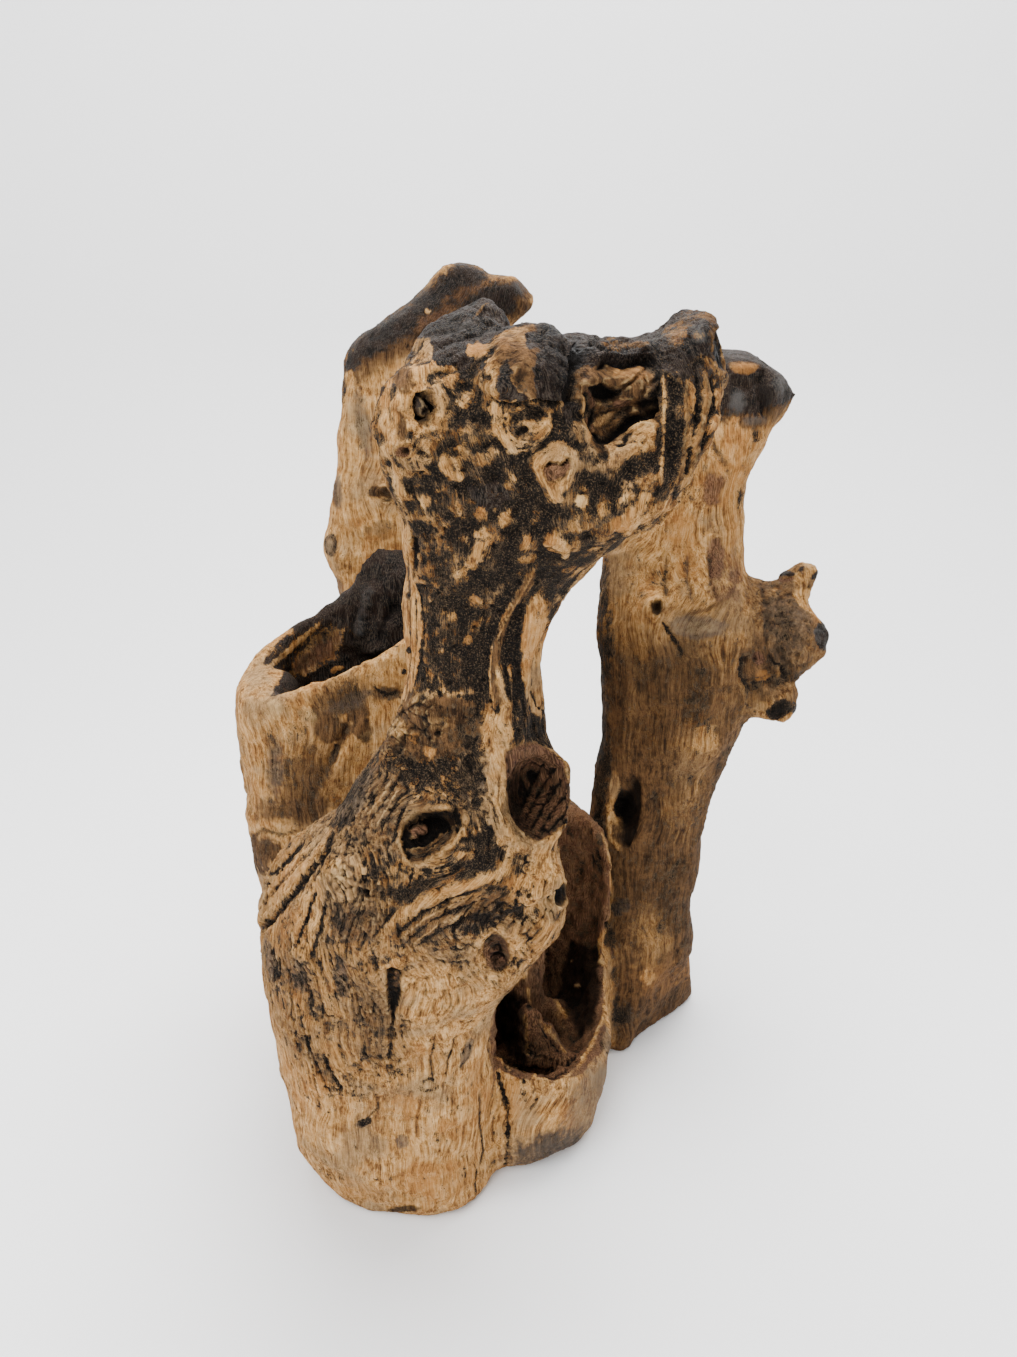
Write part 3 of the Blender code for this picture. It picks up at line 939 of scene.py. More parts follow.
    def turned_in(self, index: Array, middle: tuple[float, float]) -> Array:
        """How far vertices are turned towards an upright line.

        Args:
            index: The vertices' numbers.
            middle: Where the line stands.

        Returns:
            1 for those that face the line, down to -1 for those that face away from it.
        """
        inward = np.zeros((len(index), 3), np.float32)
        inward[:, :2] = np.array(middle) - self.places[index, :2]
        inward /= np.linalg.norm(inward, axis=1)[:, None] + 1e-6
        return (inward * self.outward[index]).sum(1)

    def stain(self, index: Array, weight: Array, paint: Paint) -> None:
        """Blend a stain in; a paint's deep value blends in painted shade.

        Args:
            index: The vertices' numbers.
            weight: How much of the stain each of them takes, from 0 to 1.
            paint: The stain.
        """
        for name, value in paint.value.items():
            now = self.stains[name][index]
            self.stains[name][index] = now + (value - now) * np.clip(weight, 0, 1)


# ---- the limbs, each with the marks on it


@dataclass
class Head:
    """The broken, charred head of the front limb."""

    char_height: float = 372.0
    marks: tuple = (
        # In these marks the darkest paint is painted shade: it darkens cracks, slits, holes, the cavity and the gaps
        # under ledges.
        # The flat charred top behind the left lump, its grain and its orange end.
        Area("426,338 440,324 462,316 484,309 496,303 512,312 518,322 500,330 487,342 466,347 461,360 444,368 "
        "434,360", CHAR),
        Edge("430,372 446,371 462,364 468,352", 1, 16, .8, BARK, .7),
        Line("440,334 462,328 482,320", 1.6, .9, PAINTED_SHADE, .5),
        Line("436,348 456,340 480,334 490,326", 1.6, .9, PAINTED_SHADE, .5), Line("446,358 462,350", 1.4, .7, PAINTED_SHADE, .4),
        # Painted highlight: the grey patch at 462,327 lightens the char on the ridges to a bluish ash-grey.
        Patch(462, 327, 22, 4, GREY, .6, .8, .6, 20),
        Area("467,347 478,343 488,346 487,357 478,360 468,358", ORANGE, 1, -.8), Dent(488, 312, 16, 8, -1.6),
        Line("470,322 488,306 504,308 514,318", 1.8, -.8, BROWN, .7),
        Line("480,316 484,322 496,326", 1.4, 1.2, PAINTED_SHADE, .8),
        # The snout: a tan left face, a dark right side that is charred and darkened further with painted shade, and a
        # crack under it, dark with painted shade.
        Area("484,350 500,335 520,327 535,326 537,350 533,374 532,396 512,396 500,388 495,396 489,378", BARE),
        Patch(511, 352, 20, 20, BROWN, .9, .6, .7), Patch(536, 356, 11, 38, BROWN, .9, .6, .6),
        Area("499,366 507,360 512,368 514,384 530,392 530,398 500,400 495,386", CHAR, .9, 0, 5, 4),
        Patch(522, 378, 10, 12, BROWN, .8, .45), Patch(531, 340, 7, 9, CHAR, .95, .45),
        Patch(505, 342, 6, 9, ORANGE, .4, .7),
        Area("540,316 552,312 566,322 573,345 573,375 566,398 552,402 536,399 533,380 538,356 534,336", CHAR, 1, 0,
        6, 5),
        Patch(557, 366, 11, 28, PAINTED_SHADE, .4, .5, .6), Line("548,322 546,350 540,390", 3, -.6),
        Edge("490,399 512,401 538,398 566,401", 1.8, 14, 1.6, PAINTED_SHADE, .95, 1),
        # The hollow right of the snout, painted black as shade.
        Area("573,346 580,340 592,352 588,366 577,374 578,396 570,408 564,396 570,372", PAINTED_SHADE, 1, 3),
        Patch(561, 428, 14, 26, BARK, .95, .6), Patch(570, 408, 8, 18, CHAR, .8, .45),
        # The round knot scar and the knot with a slit, both bare.
        Area("489,403 500,399 546,399 554,412 553,428 541,441 526,453 508,453 499,440 493,424", BARE, 1, -.5, 2),
        Rings(524, 427, 27, 25, 5, .28, .85), Patch(522, 412, 17, 8, FILM, .9, .7),
        Patch(521, 432, 7, 6, STRIATED, .8, .45), Dent(523, 430, 4.2, 4.2, 1.8, PAINTED_SHADE),
        Line("556,410 550,440 530,456", 1.6, .8, BARK, .8),
        Area("536,446 556,440 574,448 580,462 573,480 563,492 561,503 548,498 542,484 533,470", BARE, 1, -.5, 2),
        Rings(558, 466, 23, 22, 3, .25, .6),
        Area("543,470 549,462 560,465 569,457 571,467 562,480 548,483", RED, 1, 1.6, 2),
        Line("543,468 552,462 562,465 571,457", 1.6, 2, PAINTED_SHADE), Line("548,484 560,481 568,474", 1.2, .8, PAINTED_SHADE, .8),
        # The knot hole with its plug, and the tan wood on both sides of it.
        Area("416,340 431,338 434,360 442,368 458,366 457,378 446,390 441,400 438,390 428,386 417,391 412,404 415,420 "
        "424,430 413,440 398,447 389,440 387,415 396,394 407,374 413,358", BARE, .95, 0, 3, 5),
        Patch(404, 378, 9, 16, BROWN, .8, 1), Patch(400, 426, 8, 14, BROWN, .8, 1),
        Patch(436, 380, 8, 8, FILM, .9, 1), Patch(446, 392, 6, 9, FILM, .9, 1),
        Patch(398, 400, 6, 14, FILM, .9, .9), Patch(410, 432, 8, 6, FILM, .8, .9),
        Patch(450, 374, 8, 5, ORANGE, .4),
        Area("414,401 418,393 428,391 437,397 439,412 434,424 424,427 416,419", PAINTED_SHADE, 1, 2.5, 2, 1),
        Dent(424, 409, 9, 12, -4.6, steep=1.6, ragged=.4), Patch(424, 409, 8.5, 11, BROWN, .9, .4),
        Patch(423, 405, 6, 7, GREY, .8, .5), Line("440,396 443,410 438,426 424,432", 2, -.9, BARE, .6),
        Dent(403, 452, 7.5, 6, 1.8, RED, .95, .5), Dent(421, 453, 5.5, 5, 1.2, BARK, .7, .3),
        # The crescent ring.
        Patch(458, 463, 18, 16, FILM, .9, .4), Line("442,452 444,466 452,476 464,478", 3.4, -.8, BARE),
        Line("448,450 460,447 470,454", 2.2, -.5, BARE, .7), Line("450,462 456,470 468,470", 1.4, .8, BARK, .8),
        # Bare patches where the bark has gone.
        Patch(469, 400, 10, 9, BARE, 1, .9, .25, 30, -.3), Patch(494, 447, 7, 9, BARE, 1, 1.1),
        Patch(483, 458, 10, 6, BARE, .9, 1.2), Patch(480, 440, 12, 8, FILM, .8, 1.2),
        Patch(430, 440, 10, 12, FILM, .8, 1.3), Patch(423, 500, 8, 13, FILM, 1, 1),
        Patch(424, 500, 4, 9, BARE, .9, .9), Patch(400, 486, 3, 22, BARE, .9, .6),
        Patch(482, 512, 4, 9, BARE, .95, turn=25), Patch(504, 516, 4, 11, BARE, .9, turn=-20),
        Patch(498, 514, 3, 8, BARE, .7, turn=40),
        Area("474,528 486,527 495,540 484,546 480,566 466,570 472,552", BARE, 1, -.5),
        Patch(462, 572, 8, 4, BARE, .9, .7, turn=20), Patch(500, 470, 16, 12, BARK, .8),
        Patch(488, 496, 20, 12, CHAR, .75), Patch(520, 500, 16, 16, BARK, .8, .9), Dent(492, 480, 20, 14, 1.4),
        Dent(581, 501, 6, 7, -.8, PALE, .9), Patch(602, 510, 5.5, 8, BARE, .95, .5),
        Dent(625, 501, 8, 6, -1.2, rim=.4, turn=25), Line("618,504 624,496 632,495", 1.8, -.5, BARE, .9),
        Patch(611, 465, 6, 2.4, BARE, 1, .4),
        Area("609,524 622,517 634,508 641,492 653,494 653,512 648,526 632,533 614,534", BARE, ragged=4),
        Patch(622, 524, 11, 8, ORANGE, .95, .6), Patch(645, 508, 5, 10, BARE, 1, .6),
        Patch(596, 548, 8, 3, BARE, .8, .9, turn=20), Patch(590, 528, 5, 4, FILM, .8, .9),
        Area("545,536 556,532 566,538 570,548 566,556 556,550 546,546", BARE, .85, -1.2),
        Line("545,546 556,542 568,552", 1, .6, FILM, .8), Line("550,536 560,538 569,545", 1, .5, FILM, .8),
        Patch(527, 545, 3.5, 9, BARE, 1, .7), Patch(528, 557, 10, 4, BARE, 1, .6, .25, 18),
        # The rotted cavity: plates above, a dark slit of painted shade and a pale lip in front of it.
        Area("576,374 592,362 612,364 632,366 654,364 661,374 661,400 659,430 654,448 640,460 616,463 600,457 590,440 "
        "581,425 576,400", BROWN),
        Patch(590, 410, 9, 26, RED, .7, .5), Patch(590, 428, 6, 18, ORANGE, .6, .5),
        Patch(602, 412, 9, 9, BARE, .9, .6), Patch(632, 380, 24, 12, BARE, .8, .5),
        Patch(634, 372, 18, 6, ORANGE, .6), Plates(634, 380, 28, 16, 8, 4, 1.6, 2.6, .9),
        Area("580,380 600,372 650,370 658,384 650,396 630,400 616,410 600,430 590,434 582,410", BROWN, 1, -3, 4),
        Area("591,386 604,381 614,388 619,396 606,400 597,397", PAINTED_SHADE, 1, 2.2, 2),
        Area("632,402 642,396 656,399 658,411 649,415 638,411", PAINTED_SHADE, .95, 2.4, 2),
        Area("655,408 640,411 622,420 607,431 601,441 605,445 622,433 640,424 652,421", PAINTED_SHADE, 1, 3.4, 2),
        Patch(606, 416, 12, 7, BARE, .7, .9, turn=40), Patch(622, 402, 9, 5, RED, .7, .9),
        Line("598,414 612,408 624,406", 1.4, .9, PAINTED_SHADE, .7), Line("583,392 580,420 590,444", 3, -1.2, BARE, .7),
        Line("596,404 592,424 600,444", 2, 1, PAINTED_SHADE, .6),
        Area("604,447 620,437 635,425 650,418 658,424 659,440 652,452 632,462 612,463", BARE, .95, -1.4),
        Patch(646, 428, 9, 6, PALE, .6, .7, turn=20),
        Line("628,436 642,426 654,428 656,442", 1.6, -.8, BARE, .9),
        Line("618,450 634,444 648,448", 1.4, .7, FILM, .9),
        Line("634,438 646,434 652,440 644,446", 1.2, .8, FILM, .8),
        Patch(636, 420, 6, 3, PALE, .8, .5, turn=30),
        # The jagged ledge over the cavity.
        Area("588,352 600,338 622,334 642,340 656,350 656,364 640,358 622,362 604,358 592,368", CHAR),
        Patch(612, 348, 14, 7, RED, .35),
        Edge("594,368 606,358 624,363 640,358 656,362", 2.4, 18, 2.4, PAINTED_SHADE, 1, 1.2),
        Line("596,350 610,346 626,350 640,346", 1.8, 1.4, PAINTED_SHADE, .9, 1.2),
        Line("604,340 616,344 630,340", 1.4, .9, PAINTED_SHADE, .7, 1.2),
        Line("590,342 600,352 618,354 636,354 652,352", 2, 1.8, PAINTED_SHADE, 1, 1.2),
        Line("584,350 592,344 604,334", 1.8, 1.6, PAINTED_SHADE, 1, 1), Patch(628, 345, 20, 5, BROWN, .8, .9),
        Patch(604, 336, 14, 4, BROWN, .6, .9),
        # The horn, and the ribs that run down from it.
        Area("574,338 592,333 620,330 642,336 658,328 676,311 700,304 724,311 731,330 727,370 716,362 700,352 686,366 "
        "668,372 656,350 640,340 610,336 588,348 578,348", CHAR),
        # Painted highlight: the grey and pale patches at 699,336 are the sheen on the horn.
        Patch(714, 314, 12, 6, BROWN, .85, .6, turn=20), Patch(699, 336, 9, 8, GREY, 1, .3, .6),
        Patch(699, 336, 7, 6, PALE, .6, .3, .6), Patch(676, 338, 14, 12, RED, .5, .9, .6, 30),
        Patch(690, 320, 22, 8, BROWN, .5, 1.2, .6, 30), Patch(704, 376, 26, 12, CHAR, .7, .9, .8, -8),
        Patch(716, 342, 8, 22, BROWN, .6, 1, .6),
        Area("716,332 726,326 730,345 728,372 720,366 716,350", PAINTED_SHADE, 1, 2.2),
        Area("660,372 684,365 688,400 685,450 678,489 665,490 662,440", BARK), Patch(672, 400, 6, 22, GREY, .5),
        Line("662,370 665,400 662,440 660,488", 1.6, -1.2, BARE, .8, 1.2), Line("673,374 673,420 670,482", 5, 1),
        Area("686,372 716,366 729,392 720,405 707,430 700,452 690,480 683,488 685,430", FILM),
        Line("686,376 686,420 682,460 676,490", 2, -.8, BROWN, .8),
        Line("696,374 699,400 693,440 686,476", 2.4, 1.2, BARK, .9, 1.4),
        Line("703,370 708,400 700,436 692,470", 2.4, -1.2, BROWN, .8, 1.4),
        Line("712,372 715,398 706,428 700,450", 2.2, 1.2, BARK, .7, 1.4),
        Line("722,376 724,396 714,418 706,436", 3.4, -1.4, BARE, .9, 1.2),
        Line("731,384 731,400 718,420 708,440", 2.4, -.8, BARE),
        Line("706,436 700,462 690,492 672,517 648,541 622,553 606,557", 2.6, -1.2, BARE),
        Line("694,478 682,500 660,520 640,534", 2, .9, FILM, .9), Patch(668, 508, 14, 6, BARE, .8, turn=45),
    )
    flow: tuple = (
        Lean(640, 440, 24, 30), Bow(524, 427, 12, .9), Bow(558, 466, 9, .9), Bow(426, 408, 12, .9),
        Bow(616, 405, 16, .6), Lean(470, 335, 22, 78), Lean(690, 340, 22, -55), Lean(556, 545, 12, 60),
        Lean(640, 540, 14, 45),
    )

    def stain(self, skin: Skin) -> None:
        """Char what faces up on top of the head."""
        high = skin.places[:, 2] > self.char_height - 12
        index = np.nonzero(skin.is_part("front_limb") & high)[0]
        top = skin.outward[index, 2] * 1.6 + (skin.places[index, 2] - self.char_height) / 14
        skin.stain(index, eased(top + 0.5 * skin.rough[index] - 0.3), CHAR)


@dataclass
class Neck:
    """The neck of the front limb, dark with a bare strip down its left edge."""

    marks: tuple = (
        # The darkest paint in these marks is painted shade in the holes, the hollow near the top and the sunk strip
        # beside the rib.
        Area("396,512 407,512 412,540 413,575 420,600 421,640 415,680 410,704 398,718 388,724 397,690 403,650 402,600 "
        "398,560", CLEAN, soft=2),
        Patch(407, 640, 8, 60, SMOOTH, 1, .45), Line("406,540 409,600 410,660 403,708", 1.4, .5, BROWN, .7),
        Line("415,590 416,640 411,690", 1.2, .5, BROWN, .7), Dent(408, 596, 2, 4, .8, BROWN),
        Dent(409, 650, 2.4, 4, .8, BARK), Dent(405, 672, 2.4, 4, .8, BARK),
        Area("410,534 418,538 420,556 416,576 411,562", PAINTED_SHADE, 1, 2, 2),
        Line("421,552 414,564 418,580 430,582", 2.2, -1.2, FILM, .9), Dent(428, 568, 14, 15, -1.4),
        Line("420,590 424,620 421,660 414,690", 2, .8, BARK),
        # The rib of fibres down the right half, the dark strip beside it and the bare band at the edge.
        Line("536,566 522,590 510,612 499,640 494,664 497,690 504,708", 5.5, -1.4, BROWN),
        Line("537,562 520,592 506,618 498,640", 1.4, -.6, ORANGE, .9),
        Line("524,594 512,618 503,640 500,668", 1.2, .7, BARK, .8),
        Line("493,640 491,670 494,700", 1.2, -.5, BARE, .9),
        Line("498,664 502,690 508,716 512,740", 3.4, -.8, BARE, .9),
        Line("512,598 502,620 496,634", 1.4, -.4, BARE, .8),
        Area("514,600 524,604 522,640 520,668 527,700 524,718 513,712 506,690 503,660 507,626", BARK, 1, .8, 2),
        Patch(516, 660, 7, 40, PAINTED_SHADE, .45, .5), Line("509,664 512,690 512,706", 1.2, -.5, BARE, .7),
        Area("526,606 534,592 545,600 548,640 545,690 541,716 530,712 525,690 521,662 523,632", BARE, 1, -.3, 2),
        Patch(533, 660, 6, 40, SMOOTH, 1, .45), Patch(528, 640, 3, 20, GREY, .5, .6),
        Patch(541, 602, 5, 12, ORANGE, .6, .7), Line("530,690 536,706 544,712", 1.2, .8, BARK, .8),
        Line("608,550 588,566 572,586 562,602 556,622", 2.6, -.6, BARE), Patch(578, 572, 6, 4, BARE, .9, turn=50),
        Patch(556, 600, 3, 8, BARE, .8, turn=-30),
        # Flakes of bare wood on the dark bark.
        Patch(474, 600, 5, 6, ORANGE), Patch(474, 604, 4, 5, BARE, .6), Patch(453, 617, 5, 4, BARE, .8, 1),
        Patch(468, 640, 4, 4, ORANGE, .8, 1), Patch(440, 650, 4, 3, BARE, .8, 1),
        Patch(446, 588, 5, 4, FILM, 1, 1.2), Patch(500, 590, 5, 6, FILM, 1, 1.2),
        Patch(424, 640, 3, 10, FILM, 1, 1), Patch(430, 676, 4, 7, BARE, .8, 1),
        Area("442,686 450,692 462,690 472,683 474,694 462,700 446,699", BARE), Patch(460, 660, 18, 14, BARK, .9),
        Patch(468, 700, 14, 6, BARK, .9), Line("486,580 484,610 482,640", 1, .5, FILM, .8),
        Dent(449, 625, 2.6, 2.6, 1.4, PAINTED_SHADE), Dent(474, 627, 3, 2.4, 1.4, PAINTED_SHADE), Dent(444, 528, 2.4, 2.4, 1.2, PAINTED_SHADE),
        Dent(491, 701, 3, 2.4, 1.2, PAINTED_SHADE),
    )
    flow: tuple = (
        Lean(508, 620, 12, 22), Lean(524, 570, 12, 28),
    )


@dataclass
class Shoulder:
    """The knotted shoulder of the front limb, with its cup hole and its eye-shaped hole."""

    marks: tuple = (
        # The darkest paint in these marks is painted shade in the holes, the cup, the eye-shaped hole, the slot and the
        # cracks.
        # Brown lumps with small cracks, over the eye.
        Area("410,690 440,696 476,702 490,706 484,740 456,756 430,760 404,760 384,752 374,742 384,728 396,714",
        BROWN, .95, 0, 3, 6),
        Patch(420, 712, 26, 16, FILM, .6, 1), Dent(420, 712, 24, 18, -1.6), Dent(400, 732, 18, 14, -1.2),
        Plates(414, 722, 34, 26, 26, 12, .7, 1.8, .5, 0, .6), Patch(398, 728, 12, 9, PALE, .6, 1),
        Patch(424, 696, 14, 5, PALE, .6, 1, turn=15), Patch(414, 738, 6, 6, ORANGE, .9, .7),
        Patch(440, 722, 10, 8, PALE, .4, 1.1), Dent(391, 747, 13, 12, -1.2, rim=.4), Rings(391, 747, 13, 12, 3),
        Dent(437, 733, 2.6, 2.6, 1.6, PAINTED_SHADE), Patch(416, 772, 30, 14, BARK, .85, .9, turn=-20),
        Patch(398, 762, 12, 8, BARK, .8, .9), Patch(446, 764, 10, 8, BARK, .8, .9),
        Patch(430, 752, 6, 5, BARE, .8, 1),
        # The bluish grey slope on the left, then striped wood.
        Area("336,806 350,786 366,770 380,766 374,790 361,813 347,828 335,828", SLATE, ragged=4),
        Area("376,770 400,778 414,796 404,812 398,832 404,858 380,856 356,838 352,824 364,806", STRIATED, .95, 0, 3,
        4),
        Line("398,780 386,800 368,822", 1.5, .6, BARK, .7), Line("404,790 394,806 380,832", 1.5, .6, BARK, .7),
        Line("388,776 376,796 360,814", 1.5, .6, BARK, .7), Line("410,800 400,816 392,846", 1.5, .6, BARK, .7),
        Line("393,778 380,800 364,818", 1, -.4, PALE, .6), Line("400,786 390,804 375,828", 1, -.4, PALE, .6),
        # The bridge between the holes.
        Area("456,762 468,754 486,764 490,786 486,804 474,808 460,798", SLATE, .95, 0, 3, 5),
        Patch(480, 766, 10, 8, PALE, .35, 1), Patch(472, 745, 12, 8, SLATE, .6, 1),
        Area("478,700 500,712 506,740 505,790 520,830 540,843 562,830 568,850 566,872 520,866 492,846 488,812 "
        "486,770", BARE, .95, 0, 3, 5),
        Patch(480, 812, 8, 22, BARE, .85, 1, turn=10), Patch(476, 802, 5, 8, BARK, .8, .9),
        Patch(486, 824, 4, 10, BARK, .7, .9, turn=15), Line("508,700 502,720 507,744", 4, -1.2, BARE),
        Line("500,770 498,800 508,828", 1.2, .5, BROWN, .7), Line("494,764 491,800 500,830", 1.2, .5, FILM, .8),
        Line("506,800 516,826 532,842", 1.4, .5, BROWN, .6),
        # The cup: crumbly above, smooth and rayed inside.
        Area("505,752 520,744 546,750 563,764 571,790 567,822 552,834 537,843 521,832 509,818 504,790", HOLLOW, 1,
        1.2, 2.5, 1.5, 60),
        Area("512,750 524,740 548,748 562,764 554,768 536,756 514,760", RED, .9, -.8),
        Patch(540, 795, 30, 40, PAINTED_SHADE, .3, .4, .5), Patch(516, 800, 8, 26, PAINTED_SHADE, .8, .5),
        Patch(524, 824, 10, 8, PAINTED_SHADE, .6, .5), Line("564,778 548,796 530,832", 1.6, .7, PAINTED_SHADE, .5),
        Line("568,792 554,808 538,834", 1.6, .7, PAINTED_SHADE, .5), Line("556,766 540,790 524,822", 1.6, .7, PAINTED_SHADE, .5),
        Line("545,760 532,784 520,812", 1.6, .6, PAINTED_SHADE, .5), Line("567,812 556,822 546,834", 1.4, .6, PAINTED_SHADE, .4),
        Line("512,748 534,744 552,754 566,770", 1.8, -.9, BROWN, .8, 1.2),
        Line("505,760 503,790 508,818 522,834 537,845 553,836 569,822", 1.8, -.8, BARE, .9),
        # The eye-shaped hole, with the lump in it and its lower lid.
        Area("400,836 404,822 418,811 436,808 456,808 461,814 459,832 446,846 424,862 412,864 404,852", PAINTED_SHADE, 1, 2.6,
        2, 1.5, 30),
        Dent(420, 828, 15, 9, -2.8, NONE, 1, 0, 1.5, 30, .6), Dent(410, 834, 6, 5, -1.6, NONE, 1, 0, 1.5, 10, .6),
        Patch(419, 828, 14, 9, RED, 1, .6, .25, 30), Line("408,828 418,820 430,824", 1.4, 1, PAINTED_SHADE, .8),
        Area("408,850 428,846 444,834 459,824 458,834 446,847 424,862 412,864", BROWN, .9, -1.8, 2),
        Line("412,856 430,850 448,836 457,828", 1.3, .8, BARK, .8),
        Line("418,861 434,854 450,842", 1.2, .6, BARK, .7),
        Line("400,832 408,818 426,808 444,806 460,808", 2, -1, FILM, .7),
        Line("406,860 420,866 440,856 456,842 466,824", 2.2, -.9, FILM, .8),
        Patch(440, 876, 44, 9, BARK, .9, .7, turn=24), Patch(482, 850, 12, 24, BARK, .8, turn=-12),
        Patch(408, 888, 20, 10, BARK, .75, 1, turn=30), Patch(378, 868, 20, 9, BARK, .6, 1.1, turn=35),
        # The pale knob at the left, with a pinhole, and dark wood under it.
        Area("328,868 340,856 356,856 366,868 362,886 350,900 334,898 326,884", BARE, 1, -1.4, 3, 4),
        Plates(343, 876, 16, 17, 14, 3, .8, 1.8, .6, 0, .5), Patch(343, 872, 9, 8, PALE, .7, .6),
        Patch(368, 890, 14, 12, STRIATED, .9, .7), Rings(368, 888, 18, 16, 3),
        Dent(367, 893, 3.6, 5, 2, PAINTED_SHADE, turn=20),
        Area("330,905 352,906 376,904 384,920 376,940 352,944 334,935", STRIATED),
        Patch(354, 918, 24, 10, BARK, .7, .9, turn=15),
        # The sweep of bare wood under the eye, and the fine dark stripes under it.
        Line("384,930 400,916 420,904 444,892 470,884 496,872 520,858", 6.5, -1, BARE, 1, .8),
        Area("398,940 420,918 446,906 474,896 500,884 512,896 500,916 474,930 440,940 416,950", STRIATED, .9, 0, 3, 4),
        Line("396,936 420,914 448,900 480,888", 1.6, .9, BARK, .9),
        Line("404,944 430,922 460,908 492,896", 1.5, .8, BARK, .8),
        Line("414,948 440,930 470,916", 1.5, .7, BARK, .8), Line("400,940 425,918 455,904", 1.1, -.5, PALE, .6),
        Line("410,946 436,926 466,912", 1.1, -.5, PALE, .6), Line("372,938 384,924 396,908", 2.4, .8, BARK, .9),
        Dent(447, 901.5, 2.6, 2.4, 1.8, PAINTED_SHADE), Patch(480, 922, 22, 10, BARK, .7, 1.1, turn=14),
        Patch(512, 912, 16, 8, BARK, .65, 1.1, turn=10), Plates(496, 916, 34, 16, 40, 9, .5, 1.6, .3, 14, .7),
        # The dimpled wood at the right, with a knot swirl and the hole on the edge.
        Area("508,868 530,852 560,850 567,880 560,910 548,930 530,920 516,900 506,886", BARE, .9, 0, 3, 5),
        Rings(530, 868, 12, 9, 2, .3, .9), Dent(529, 896, 3.4, 3, 1.6, PAINTED_SHADE),
        Patch(524, 892, 9, 5, BARK, .7, .9, turn=20), Patch(540, 910, 8, 10, FILM, .8, .9),
        Dent(559, 895, 7, 12.5, 3, PAINTED_SHADE, 1, .9, 1.5, -10), Line("551,888 552,902 560,910", 1.6, -.5, PALE, .9),
        Line("569,868 568,896 556,924 540,946 520,968 506,976", 2.4, -.9, BARE),
        Line("558,920 540,936 526,956", 1.6, -.6, ORANGE, .8),
        # The peg in its hole.
        Patch(498, 952, 24, 26, BARE, 1, .4), Rings(499, 954, 22, 27, 2, .35, .7),
        Area("485,954 486,942 493,935 502,936 508,944 512,958 508,970 498,974 488,968", RED, 1, 1.8, 2, 1),
        Patch(498, 944, 9, 9, PAINTED_SHADE, .6, .4), Dent(501, 963, 9.5, 9, -1, steep=2),
        Patch(501, 963, 9, 8.5, PAINTED_SHADE, .75, .2), Line("492,958 499,952 508,957", 1.6, -.8, GREY),
        Patch(504, 961, 4, 3, BROWN, .8, .45),
        # The slot and the crack under it.
        Area("386,972 394,968 401,973 401,990 397,1008 393,1026 389,1006 387,988", PAINTED_SHADE, .95, 2, 2, 1.5),
        Patch(397, 984, 3, 8, RED, 1, .4), Line("392,1022 391,1040 389,1062", 1.6, 1, BARK, .9),
        Line("378,968 392,963 406,968", 2.4, -1, BARE, .8), Dent(398, 962, 8, 4, -.8, BARE),
        # The torn, fibrous ledge at the left edge.
        Area("252,912 262,896 286,868 310,846 330,826 334,832 318,856 296,884 276,908 262,926 252,924", BARE, 1, -1, 2),
        Patch(290, 878, 36, 10, ORANGE, .5, .9, turn=42),
        Line("256,916 280,888 308,858 328,834", 1.4, .8, BROWN, .8, 1.2),
        Line("262,906 288,876 314,848", 1.2, .6, BROWN, .7, 1.2),
        Edge("258,932 274,914 296,888 318,858 334,834", .6, 12, 2.2, BARK, .95),
        Line("254,934 262,928 276,918", 3, 1.8, RED, .9), Line("330,846 320,864 312,884", 2, 1.2, BARK),
        Area("300,900 318,876 326,880 322,920 306,960 292,968", BARE, .9, 0, 3, 4),
        Line("316,890 306,920 294,950", 2, .9, BARK, .9), Line("326,900 320,930 310,960", 2.2, .9, BARK, .9),
    )
    flow: tuple = (
        Lean(450, 880, 28, 62), Lean(380, 800, 18, 38), Lean(350, 930, 16, 40), Bow(428, 832, 17, .9),
        Bow(537, 794, 24, .9), Bow(499, 954, 13, .9), Bow(559, 895, 9, .9), Bow(350, 878, 13, .9),
        Bow(393, 985, 9), Lean(540, 935, 14, 44), Lean(290, 880, 14, 42),
    )


